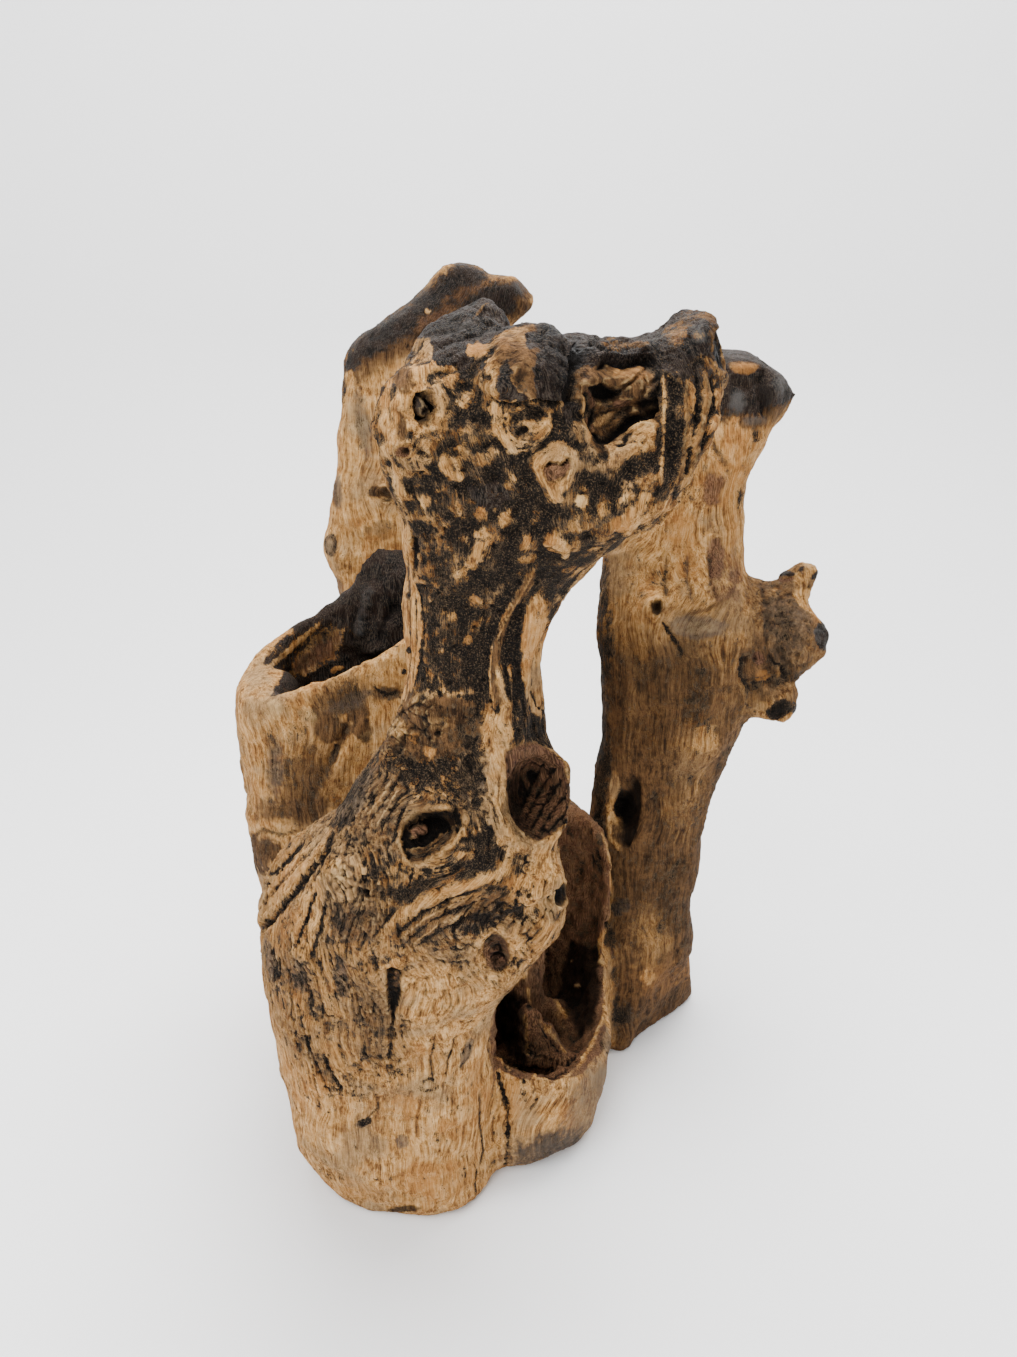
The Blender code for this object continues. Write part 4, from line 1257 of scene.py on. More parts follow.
@dataclass
class Foot:
    """The foot of the front limb and the flat-cut front of the crown."""

    marks: tuple = (
        Patch(430, 1000, 26, 50, CLEAN, .9, .5), Patch(470, 1020, 30, 40, CLEAN, .8, .5),
        Patch(288, 966, 9, 24, STRIATED, .9, .8, .5, 8), Patch(272, 962, 6, 26, SLATE, .9, .7, .5, 10),
        Patch(302, 976, 9, 18, SLATE, .85, .9, .5, 10), Patch(342, 978, 9, 20, SLATE, .9, .8, .5, 8),
        Patch(318, 1014, 10, 24, STRIATED, .65, .9, .5, 20), Patch(300, 1040, 9, 16, FILM, .9, .9, turn=20),
        Patch(325, 1070, 8, 20, STRIATED, .9, .9, .5, 30), Patch(330, 1088, 12, 6, FILM, .9, 1.2, .5, -30),
        Patch(372, 1020, 26, 44, STRIATED, .75, 1, .6, 8), Patch(300, 1040, 14, 40, STRIATED, .4, 1, .6, 14),
        Patch(340, 1080, 36, 18, FILM, .55, 1.2), Patch(310, 1100, 26, 8, FILM, .5, 1.3),
        Patch(392, 1060, 10, 26, FILM, .8, 1.2), Line("322,1052 330,1072 344,1092", 1.4, .8, FILM, .9),
        Line("314,1060 322,1080 334,1098", 1.2, .6, FILM, .9),
        Line("296,1000 304,1030 312,1056", 1.4, .6, FILM, .8), Dent(312, 1004, 16, 26, 1.2, turn=15),
        Dent(322, 1068, 16, 26, 1.2, turn=25), Dent(350, 1040, 22, 26, -.8),
        Patch(467, 1052, 5, 16, GREY, 1, .5, .25, -20), Patch(466, 1054, 4, 14, FILM, .9, .6, turn=-20),
        Line("456,1036 448,1060 446,1080", 1.4, .5, BROWN, .7),
        Line("436,1030 430,1060 434,1086", 1.4, .5, BROWN, .6),
        Line("428,1036 426,1058 428,1078", 3, -.4, PALE, .7), Dent(428, 1086, 15, 10, -.5, PALE, .5),
        Rings(428, 1086, 16, 11, 1, .25), Dent(415, 1108, 34, 14, .9), Dent(476, 1090, 16, 30, 1, turn=-15),
        Dent(440, 1050, 24, 30, -.6), Dent(396, 1112, 30, 14, -.8), Patch(408, 1106, 14, 12, ORANGE, .8),
        Patch(404, 1116, 10, 6, RED, .3, .9), Line("376,1092 378,1108 366,1120", 1.1, .6, BROWN, .7),
        Area("354,1126 360,1119 372,1118 370,1125 362,1130", GREY, 1, .6, 1.5, .5),
        Patch(364, 1123, 7, 4, BARK, .8, .3, turn=12), Patch(402, 1141, 7, 8, GREY, .9, .6),
        Patch(437, 1140, 4, 7, FILM, .9, .7), Line("477,1167 476,1184 478,1202", 1, .7, BARK, .7),
        Line("482,1090 480,1120 484,1150 480,1168", 1.8, .7, BROWN, .8),
        Line("494,1046 500,1080 508,1112 508,1150 504,1180", 3, 1.2, FILM, .5),
        Patch(320, 1150, 24, 30, PALE, .3, .9), Patch(300, 1120, 20, 24, CLEAN, .8, .7),
        Patch(440, 1180, 46, 18, ORANGE, .6, .9), Patch(350, 1190, 40, 10, ORANGE, .5, .9),
        # Painted shadow: the dark patch at 404,1209 is the gap under the foot where it meets the floor.
        Patch(330, 1176, 14, 8, FILM, .5, 1.3), Patch(404, 1209, 16, 3.4, PAINTED_SHADE, .9, .4, turn=4),
        Patch(488, 1060, 8, 26, CLEAN, .8, .45),
    )
    flow: tuple = (
        Lean(440, 1040, 24, -14), Lean(330, 1060, 20, -14), Lean(490, 1100, 22, 24), Lean(320, 940, 16, 16),
    )


@dataclass
class Bowl:
    """The bowl at the front right: a smooth outer lobe and a rotted hollow, red-brown and darkened with painted shade.
    """

    low: tuple = (-30.0, -62.0, 24.0)
    high: tuple = (54.0, 52.0, 160.0)
    middle: tuple = (20.0, -4.0)
    across: float = 60.0
    painted_shade_height: float = 110.0
    crumb_size: tuple = (5.0, 5.0, 9.0)
    ledge_size: tuple = (8.0, 8.0, 14.0)
    marks: tuple = (
        # The darkest paint in these marks is painted shade down in the hollow and in its cracks.
        Area("585,836 598,850 608,872 612,896 609,922 599,944 590,960 570,960 560,930 566,880 572,850", RED, .9,
        window=70),
        Area("561,968 572,940 596,950 600,975 600,1010 580,1040 560,1000", PAINTED_SHADE, .95, window=60),
        Area("500,1030 498,1000 510,985 526,1000 530,1030 528,1066 508,1056", PAINTED_SHADE, .9, window=60),
        Area("536,944 556,934 558,968 546,1000 536,996 524,985", HOLLOW, .9, window=40),
        Area("524,1006 532,1004 546,1030 560,1046 574,1060 572,1076 552,1078 528,1070 528,1040", HOLLOW, .95,
        window=40),
        Patch(548, 1036, 20, 30, PAINTED_SHADE, .45, .5, .6, -30),
        Line("532,1010 544,1034 562,1056", 1.4, .7, BARK, .8),
        Line("612,878 612,900 608,922 599,944 600,962 612,972", 2.2, -.6, BARE, 1, .8),
        Line("614,976 606,1010 592,1046 576,1072", 2.2, -.6, BARE, 1, .9),
        Line("608,984 598,1014 584,1046 566,1070", 3, .8, RED, .9, 1),
        Line("492,1056 506,1066 520,1072 540,1082 558,1082 574,1072", 2.4, -.9, BARE, 1, 1.4),
        Line("500,1062 516,1074 526,1084", 2.2, 1, BROWN, .8, 1.4),
        Line("494,1052 512,1062 530,1074 554,1078 572,1068", 2, 1.2, PAINTED_SHADE, .9, 1),
        Patch(548, 1108, 40, 22, CLEAN, .9, .6), Patch(590, 1100, 20, 64, GREY, .9, .5, .6, -22),
        Patch(550, 1150, 46, 18, GREY, .9, .5, .6, 12), Patch(552, 1148, 40, 16, BROWN, .8, .9, .6, 12),
        Patch(512, 1100, 10, 22, ORANGE, .7), Patch(530, 1096, 7, 20, FILM, .6, 1, turn=12),
        # Painted highlight: the two small pale swellings at 578,985 and 572,961 are glints in the dark hollow.
        Dent(578, 985, 2.8, 2.4, -.8, PALE), Dent(572, 961, 1.8, 1.6, -.6, PALE),
    )
    flow: tuple = (
        Lean(560, 1110, 22, 40), Lean(585, 860, 22, -12),
    )

    def stain(self, skin: Skin) -> None:
        """Stain the inside of the hollow red-brown, darken its lower part with painted shade, and let its wood crumble.
        """
        index = skin.inside(self.low, self.high)
        index = index[skin.is_part("root_crown")[index]]
        facing = skin.turned_in(index, self.middle) + 0.9 * np.maximum(skin.outward[index, 2], 0)
        inner = np.maximum(eased(facing * 2.2 - 0.1), eased(skin.enclosed(index, self.across) * 1.6))
        skin.stain(index, inner * 0.95, RED)
        # Painted shade, growing deeper down the hollow.
        low = eased((self.painted_shade_height - skin.places[index, 2]) / 60)
        skin.stain(index, inner * 0.25 * low, PAINTED_SHADE)
        cloud = Cloud(47)
        crumbs = cloud.sum(skin.places[index] / np.array(self.crumb_size), 3)
        ledges = 1 - 2 * np.abs(cloud.single(skin.places[index] / np.array(self.ledge_size) + 9))
        moved = inner * (1.7 * crumbs + 0.9 * ledges)
        skin.places[index] += moved[:, None] * skin.outward[index]


@dataclass
class Stump:
    """The hollow stump: a broad tan face, a pale rim and a charred inside."""

    middle: tuple = (-72.0, 22.0)
    floor: float = 150.0
    red_height: float = 205.0
    painted_shade_height: float = 215.0
    peak_height: float = 226.0
    peak_depth: float = 20.0
    marks: tuple = (
        Area("268,696 290,668 312,650 334,636 360,640 400,630 404,640 380,648 350,652 320,662 300,676 284,688 "
        "272,704", CHAR, .85, window=30),
        Line("300,680 322,666 350,656 376,650 402,646", 2.4, -.8, CHAR),
        # Painted highlight: the raised grey rib on the charred prong. The cracks beside it are painted shade.
        Line("358,640 362,618 368,596 374,586", 7, -2.4, GREY, .5),
        Line("378,644 384,622 398,604", 4, 1.8, PAINTED_SHADE, .8), Line("350,646 352,624 358,606", 3, 1.4, PAINTED_SHADE, .7),
        Line("272,708 290,702 312,684 336,668 370,664 402,656", 3.4, -.7, BARE),
        Line("258,680 275,662 300,640 322,622", 3.4, -.4, BARE, .9),
        Patch(316, 656, 28, 11, RED, .9, .7, .6, 32), Patch(322, 640, 18, 9, BROWN, .6, .9, .6, 32),
        Patch(274, 710, 9, 13, PALE, .8, .5), Patch(306, 716, 10, 14, PALE, .75, .6, turn=20),
        Patch(298, 702, 8, 10, ORANGE, .6, .7), Patch(290, 732, 6, 8, PALE, .5, .7),
        Patch(308, 728, 6, 8, ORANGE, .6, .6), Patch(320, 770, 30, 50, BROWN, .4, .6, .7, 20),
        Patch(290, 812, 34, 14, BROWN, .7, .7, .6), Patch(340, 700, 34, 20, BROWN, .7, .6, .6, 20),
        Patch(290, 750, 14, 40, BARE, .5, .7, .6), Patch(272, 760, 9, 34, STRIATED, .6, .6, .5, -3),
        Patch(276, 770, 8, 30, GREY, .8, .6, .5), Patch(300, 790, 22, 40, BROWN, .6, .7, .5),
        Patch(345, 690, 26, 12, FILM, .7, .8, .5, 20), Patch(352, 700, 24, 8, GREY, .8, .6, .5, 25),
        Patch(330, 730, 16, 14, BROWN, .7), Patch(372, 746, 12, 18, PALE, .5),
        Patch(360, 720, 10, 22, BROWN, .9, .7, turn=20), Patch(388, 693, 14, 7, BROWN, .9, .7),
        Line("374,686 386,696 398,692", 2.2, 1.2, BARK, .9), Dent(268, 862, 24, 20, -1.4),
        Patch(262, 850, 18, 22, BROWN, .9), Patch(270, 832, 24, 8, PALE, .5, .9, turn=-10),
        Patch(284, 826, 14, 8, PALE, .5, .9), Line("250,838 262,830 282,836 300,830", 2, 1, BROWN, .8),
        Line("270,876 286,862 304,842", 3, 1.6, BARK, .8), Line("330,790 344,760 358,730 372,706", 7, -1.8),
        Line("322,780 338,748 350,722", 5, 1.6, BROWN, .5), Line("240,700 242,760 247,830", 3.4, -.5, BARE, .9),
        Patch(258, 720, 6, 40, BARE, .8, .6), Patch(262, 690, 8, 16, BARE, .9, .6),
        Dent(244, 700, 10, 18, -1.4),
    )
    flow: tuple = (
        Lean(300, 780, 30, 8), Bow(296, 712, 15, .5),
    )

    def stain(self, skin: Skin) -> None:
        """Char the inside, darken its lower part with painted shade, and leave a pale rim."""
        index = np.nonzero(skin.is_part("hollow_stump") & (skin.places[:, 2] > self.floor))[0]
        facing = skin.turned_in(index, self.middle)
        up = np.maximum(skin.outward[index, 2], 0)
        rough = skin.rough[index]
        rim = eased(up * 2 - 0.6) * eased(1.2 - np.abs(facing) * 2)
        skin.stain(index, rim * 0.6, BARE)
        inner = eased(facing * 2.4 - 0.2 + 0.3 * rough)
        skin.stain(index, inner, CHAR)
        skin.stain(index, inner * eased((skin.places[index, 2] - self.red_height) / 30) * 0.35, RED)
        # Painted shade, growing deeper down inside.
        skin.stain(index, inner * eased((self.painted_shade_height - skin.places[index, 2]) / 60) * 0.7, PAINTED_SHADE)
        high = eased((skin.places[index, 2] - self.peak_height + 5 * rough) / 14)
        back = eased((skin.places[index, 1] - self.peak_depth + 4 * skin.grit[index]) / 8)
        skin.stain(index, high * back, CHAR)


@dataclass
class TallLimb:
    """The tall limb at the back left with a slanted, charred top."""

    top: float = 330.0
    brown_height: float = 372.0
    char_height: float = 386.0
    marks: tuple = (
        # The darkest paint here is painted shade in the knot hole at 387,494, and darkens the slanted top a little
        # more.
        Area("338,370 346,346 362,328 386,314 410,298 434,280 456,262 474,262 492,276 540,278 540,316 500,330 440,346 "
        "400,362 372,374 352,396", BROWN, .9, 0, 16, 7, 80),
        Area("338,366 346,346 362,328 386,314 410,298 434,280 456,262 474,262 492,276 512,284 512,308 486,308 458,314 "
        "432,328 404,342 380,352 362,362 352,380 344,390", CHAR, .85, 0, 13, 6, 80),
        Patch(436, 316, 26, 8, RED, .6, .6, .6, 34), Patch(470, 290, 26, 6, RED, .5, .6, .6, 20),
        Area("338,366 346,346 362,328 410,298 456,262 474,262 492,276 540,278 540,312 500,326 440,342 400,358 372,372 "
        "352,396", PAINTED_SHADE, .3, 0, 22, 5, 80),
        Patch(500, 306, 14, 9, CHAR, .9, .5, .5), Patch(516, 290, 11, 9, CHAR, .6, .5, .5),
        Line("508,277 524,277 534,290 531,306", 3, -.6, BARE, .8), Patch(428, 311, 3, 2.4, PALE, 1, .2),
        Patch(342, 392, 5, 13, BARK, .85, .5), Patch(350, 378, 5, 9, BARE, .9, .5),
        Line("352,380 350,410 342,460 338,500", 5, -.6, CLEAN, .9),
        Line("362,420 356,460 352,480", 3, .8, FILM, .8), Patch(364, 430, 8, 42, GREY, .9, .5, .5, 10),
        Patch(362, 420, 7, 40, FILM, .9, .7, .5, 8), Patch(388, 420, 10, 34, CLEAN, .8, .6),
        Patch(358, 450, 18, 60, PALE, .5, .6, .7), Dent(387, 494, 9, 8, 2.4, PAINTED_SHADE, .95, .8, 1.3),
        Patch(378, 492, 14, 7, BROWN, .9, turn=10), Patch(392, 474, 10, 10, BARE, .8),
        Patch(338, 492, 5, 18, GREY, 1, .4, .4), Patch(336, 492, 4, 14, FILM, .9, .6),
        Patch(345, 530, 16, 12, BROWN, .35, .8, .6), Dent(331, 545, 7, 12, -1.4, SLATE, .9),
        Patch(338, 590, 5, 14, GREY, .9, .5, .4), Patch(380, 530, 14, 12, BROWN, .5, 1),
    )
    flow: tuple = (
        Bow(387, 494, 14), Lean(430, 310, 30, 48),
    )

    def stain(self, skin: Skin) -> None:
        """Char the parts of the slanted top that the photograph can't show."""
        index = np.nonzero(skin.is_part("tall_limb") & (skin.places[:, 2] > self.top))[0]
        height = skin.places[index, 2] - 0.9 * skin.places[index, 0] + 8 * skin.rough[index]
        turned = eased(skin.outward[index, 1] * 2 + 0.6)
        skin.stain(index, eased((height - self.brown_height) / 24) * turned, BROWN)
        skin.stain(index, eased((height - self.char_height) / 26) * turned, CHAR)


@dataclass
class RightLimb:
    """The weathered limb at the right, with a charred cap and an oval hole."""

    cap: float = 333.0
    marks: tuple = (
        # The darkest paint in these marks is painted shade in the crease on the cap, the hole at 657,607 and the oval
        # hole.
        Patch(742, 366, 13, 4, CLEAN, 1, .25, .5), Patch(743, 367, 14, 6, BROWN, .8, .4, .6),
        Patch(745, 369, 14, 6, ORANGE, .8, .5), Dent(745, 368, 18, 9, -1),
        Line("729,380 748,388 762,376", 4, 1.6, CHAR), Dent(744, 400, 14, 16, -1.8, turn=20),
        Dent(776, 392, 16, 18, -2.2), Dent(760, 420, 10, 9, -1.2), Line("766,366 760,392 764,420", 3, 2, CHAR),
        # Painted highlight: the grey patches on the charred cap are highlights on its facets.
        Line("750,392 752,412", 2.4, 1.2, CHAR), Patch(754, 421, 12, 6, GREY, 1, .5, .5),
        Patch(738, 402, 8, 12, GREY, 1, .5, .5), Patch(780, 384, 8, 12, GREY, .7, .5, .5),
        Patch(766, 400, 5, 16, PAINTED_SHADE, .7, .5, .5, 10),
        Area("716,430 738,432 758,436 776,424 790,404 774,430 756,462 748,484 742,500 730,480 712,452", BARE, .9,
        window=20),
        Line("712,440 722,458 730,476", 4, 1, BROWN, .7), Patch(757, 437, 8, 5, BARK, .7, .5, turn=15),
        # The streaks, the fold and the round hole on its face.
        Patch(712, 490, 12, 22, RED, .85, .6, .4, -12), Patch(716, 558, 10, 26, RED, .95, .5, .4),
        Patch(736, 560, 8, 24, RED, .6, .7, .4), Line("710,536 728,533", 2.4, -.5, BARE),
        Patch(690, 480, 12, 30, BARE, .9, .7), Patch(684, 530, 16, 26, ORANGE, .6),
        Patch(706, 520, 6, 16, BARE, .9, .7), Patch(732, 440, 16, 18, CLEAN, .8, .7),
        Patch(742, 500, 6, 10, BARK, .8, .5), Patch(700, 575, 7, 26, BARE, 1, .6),
        Line("676,560 672,585 678,606", 3.4, -.9, BARE, .8), Line("688,552 686,580 694,606", 2.6, 1, GREY, .8),
        Line("700,548 700,580 708,604", 3.4, -1, CLEAN, .8), Line("710,556 712,584 718,602", 2, .9, BROWN, .9),
        Line("666,556 664,584 666,596", 2, .8, BROWN, .7), Dent(657, 607, 6, 8.5, 2.8, PAINTED_SHADE, 1, .7, 1.5),
        Patch(655, 594, 7, 7, CLEAN, .9, .6), Line("650,598 648,612 656,622", 2.2, -.6, BARE),
        Area("668,622 684,614 712,616 728,624 720,636 696,640 676,636", GREY, 1, -.4, 4),
        Patch(696, 627, 26, 8, PALE, .45, .6), Line("662,622 672,636 680,650 682,658", 2.4, 1.4, BARK, .9),
        Line("682,614 706,610 726,598 736,582", 3, -.9, BROWN, .6), Patch(724, 594, 16, 10, RED, .55, .9),
        Patch(735, 578, 8, 9, RED, .6, .9),
        # Its left edge is dark: partly bark and partly painted shade.
        Patch(604, 640, 8, 90, BARK, .7, .7, .6, 1), Patch(602, 780, 8, 80, BARK, .8, .7, .6, -2),
        Patch(618, 700, 10, 40, BROWN, .8, .7, .6), Dent(595, 600, 4, 3, -.8),
        Patch(680, 690, 50, 46, BROWN, .6, .7, .6), Patch(700, 700, 10, 30, BARK, .4, 1.1),
        # The oval hole with a tan rim, its inside painted shade.
        Patch(616, 800, 6, 30, BARE, .95, .4, turn=4), Line("620,780 609,806 610,836 622,852", 3, -1, BARE),
        Area("633,776 639,784 640,806 634,834 628,847 619,844 616,824 621,800", PAINTED_SHADE, 1, 2, 3, 1.5, 40),
        Line("642,784 648,812 640,846", 4, -.9, BROWN, .9), Line("654,790 660,820 650,860", 3, .7, BARK, .4),
        Patch(690, 780, 20, 60, BARE, .4, .9, .6, -8), Patch(708, 742, 12, 14, BARE, .7),
        Dent(719, 741, 6, 5, .8, rim=.4), Patch(668, 900, 34, 50, FILM, .7, 1.1),
        Patch(622, 907, 10, 8, SLATE, .8), Patch(650, 940, 20, 30, BARE, .5, .9, .6),
        Patch(656, 980, 26, 18, ORANGE, .5, .9, .6), Patch(646, 976, 8, 8, BARE, .8, .9),
        Patch(622, 1014, 11, 10, SLATE, .8), Patch(606, 1040, 7, 14, SLATE, .7),
        Patch(680, 1000, 10, 14, BROWN, .7, .9),
    )
    flow: tuple = (
        Bow(628, 816, 14), Bow(657, 607, 12), Lean(700, 612, 16, 40),
    )

    def stain(self, skin: Skin) -> None:
        """Char the cap."""
        index = np.nonzero(skin.is_part("right_limb") & (skin.places[:, 2] > self.cap - 22))[0]
        height = skin.places[index, 2] + 3.5 * skin.rough[index] - 0.10 * (skin.places[index, 0] - 95)
        height += 2.5 * skin.grit[index]
        skin.stain(index, eased((height - self.cap) / 14 + 1) * 0.8, BROWN)
        skin.stain(index, eased((height - self.cap) / 9 + 0.5), CHAR)


@dataclass
class Spur:
    """The broken side branch of the right limb, with its knots and a cut stub."""

    marks: tuple = (
        Area("762,566 790,576 808,566 820,580 826,610 826,640 816,660 800,680 780,690 770,660 762,620 756,590",
        STRIATED, .8, window=30),
        Patch(790, 620, 22, 34, GREY, .5, .6, .5), Patch(792, 650, 22, 22, FILM, .5, .9, .5),
        Area("793,594 802,588 814,590 820,604 823,622 812,614 800,606", CLEAN, 1, .6, 2),
        Patch(818, 618, 5, 6, ORANGE, .7, .45), Patch(823, 636, 8, 16, CHAR, .9, .4),
        Patch(812, 571, 13, 9, CHAR, 1, .4, .25, 10), Line("762,566 778,574 798,574", 3.4, -.8, CHAR, .9),
        Line("764,572 782,580 802,578 814,584", 2.4, .6, RED, .9),
        Line("812,560 818,572 822,590", 3, -.5, BARK, .8), Line("762,580 768,620 766,650", 3, 1, BROWN, .8),
        # A cluster of knots where it leaves the limb.
        Patch(760, 664, 22, 20, BROWN, .9, .7), Dent(758, 667, 16, 15, -1.4),
        Dent(757, 658, 7, 6, 2.2, RED, 1, .8), Dent(762, 676, 8, 8, -1.6, ORANGE, .9),
        Dent(776, 670, 6, 8, -1.2, BARE, .6), Rings(759, 668, 20, 18, 3, .4, 1),
        Line("742,654 740,676 750,690", 2.4, 1.2, BARK, .9), Line("768,660 780,666 786,680", 2, 1, BARK, .8),
        # The cut stub under it.
        Patch(774, 712, 24, 12, BARE, .8, .6), Dent(780, 709, 15, 10, .8, BARK, 1, .6, 1.5, 24),
        # Painted shade: the dark patch at 778,710 in the hollow cut end of the stub.
        Patch(778, 710, 9, 6, PAINTED_SHADE, .7, .4, turn=24), Line("762,724 778,724 792,712", 2.2, -.6, BARE),
        Line("790,700 796,706 790,714", 2, -.6, CHAR, .9),
    )
    flow: tuple = (
        Lean(795, 620, 20, 60), Bow(759, 668, 13, .9),
    )


@dataclass
class Sides:
    """Marks on the sides and back, of the same kinds as those in front: right, up and a compass angle."""

    marks: tuple = (
        # The darkest paint in these marks is painted shade in the cracks and holes.
        # Right side of the head and shoulder.
        Patch(-70, 345, 14, 20, BARE, .8, .9, angle=90), Patch(-84, 330, 10, 14, FILM, .8, .9, angle=90),
        Patch(-62, 260, 8, 26, BARE, .9, .5, angle=90),
        Line("-58,330,90 -60,290,90 -64,240,90", .8, 1.2, PAINTED_SHADE, .8),
        Patch(-60, 190, 14, 20, BARE, .8, .7, angle=90),
        # Back of the front limb.
        Patch(-10, 340, 18, 22, BARK, .6, 1, angle=180), Patch(20, 250, 9, 40, BARE, .9, .7, angle=180),
        Line("0,300,180 4,250,180 12,200,180", .9, 1.6, PAINTED_SHADE, .8),
        # Back of the tall limb: a long check, a knot and a bare sweep.
        Line("52,330,180 56,260,180 54,190,180", .9, 2, PAINTED_SHADE, .9, lip=.5),
        Line("66,300,180 70,240,180 66,200,180", .6, 1.2, BARK, .8),
        Dent(62, 230, 6, 8, 2.6, PAINTED_SHADE, .9, 1.2, 1.4, angle=180), Rings(62, 230, 11, 15, 4, .4, angle=180),
        Patch(44, 290, 14, 30, CLEAN, .8, .7, angle=180), Patch(70, 150, 12, 30, GREY, .5, angle=180),
        Patch(50, 60, 30, 24, FILM, .8, 1.1, angle=180), Patch(20, 100, 24, 20, BARK, .5, 1.2, angle=180),
        Dent(40, 90, 8, 10, 3, PAINTED_SHADE, .9, 1.2, 1.3, angle=200), Rings(40, 90, 16, 18, 3, .5, angle=200),
        Line("30,120,190 36,70,190 34,20,190", .9, 1.8, PAINTED_SHADE, .8),
        Line("-10,110,180 -4,60,180 -8,14,180", .8, 1.6, BARK, .9),
        # Back of the right limb and the crown under it.
        Patch(-84, 290, 12, 24, BARE, .8, angle=180), Dent(-84, 240, 8, 8, -2.4, BROWN, .8, .4, angle=180),
        Rings(-84, 240, 10, 10, 3, .4, angle=180),
        Line("-70,200,180 -74,140,180 -70,90,180", .8, 1.8, PAINTED_SHADE, .8, lip=.4),
        Patch(-64, 150, 16, 30, STRIATED, .8, .9, angle=180), Patch(-30, 50, 22, 26, FILM, .8, 1.1, angle=150),
        Dent(-20, 60, 9, 7, -2, angle=150), Line("-30,110,165 -34,60,165 -26,16,165", .9, 1.5, BARK, .9),
        # Right side of the right limb.
        Line("36,190,90 40,130,90 44,70,90", .8, 1.8, PAINTED_SHADE, .8),
        Dent(30, 100, 4, 7, 2.6, PAINTED_SHADE, 1, .9, 1.4, 0, .12, 90), Patch(30, 280, 12, 24, BARE, .8, angle=90),
        Patch(36, 40, 16, 18, ORANGE, .6, .9, angle=90), Patch(20, 160, 12, 40, FILM, .7, 1, angle=90),
        # Left side of the stump, the tall limb and the trunk.
        Dent(-4, 170, 7, 9, 3, PAINTED_SHADE, .9, 1.2, 1.3, angle=270), Rings(-4, 170, 13, 16, 3, .45, angle=270),
        Line("-14,140,270 -18,90,270 -14,40,270", .9, 2, PAINTED_SHADE, .9, lip=.4),
        Patch(10, 70, 20, 30, FILM, .9, 1.1, angle=270), Patch(20, 80, 12, 16, BARK, .6, 1.1, angle=270),
        Patch(-80, 250, 12, 30, BARE, .8, angle=270),
        Line("-76,330,270 -80,280,270 -78,230,270", .8, 1.6, PAINTED_SHADE, .8),
        Dent(62, 60, 10, 8, -2.2, rim=.4, angle=270), Patch(60, 60, 16, 20, STRIATED, .8, .9, angle=270),
    )
    flow: tuple = (
        Bow(62, 230, 18, .9, 180), Bow(-4, 170, 18, .9, 270), Bow(-84, 240, 14, .9, 180),
        Bow(40, 90, 18, .9, 200), Lean(40, 60, 30, 25, 200), Lean(-20, 60, 30, -30, 150),
        Lean(20, 60, 30, 18, 270),
    )


# ---- finishes


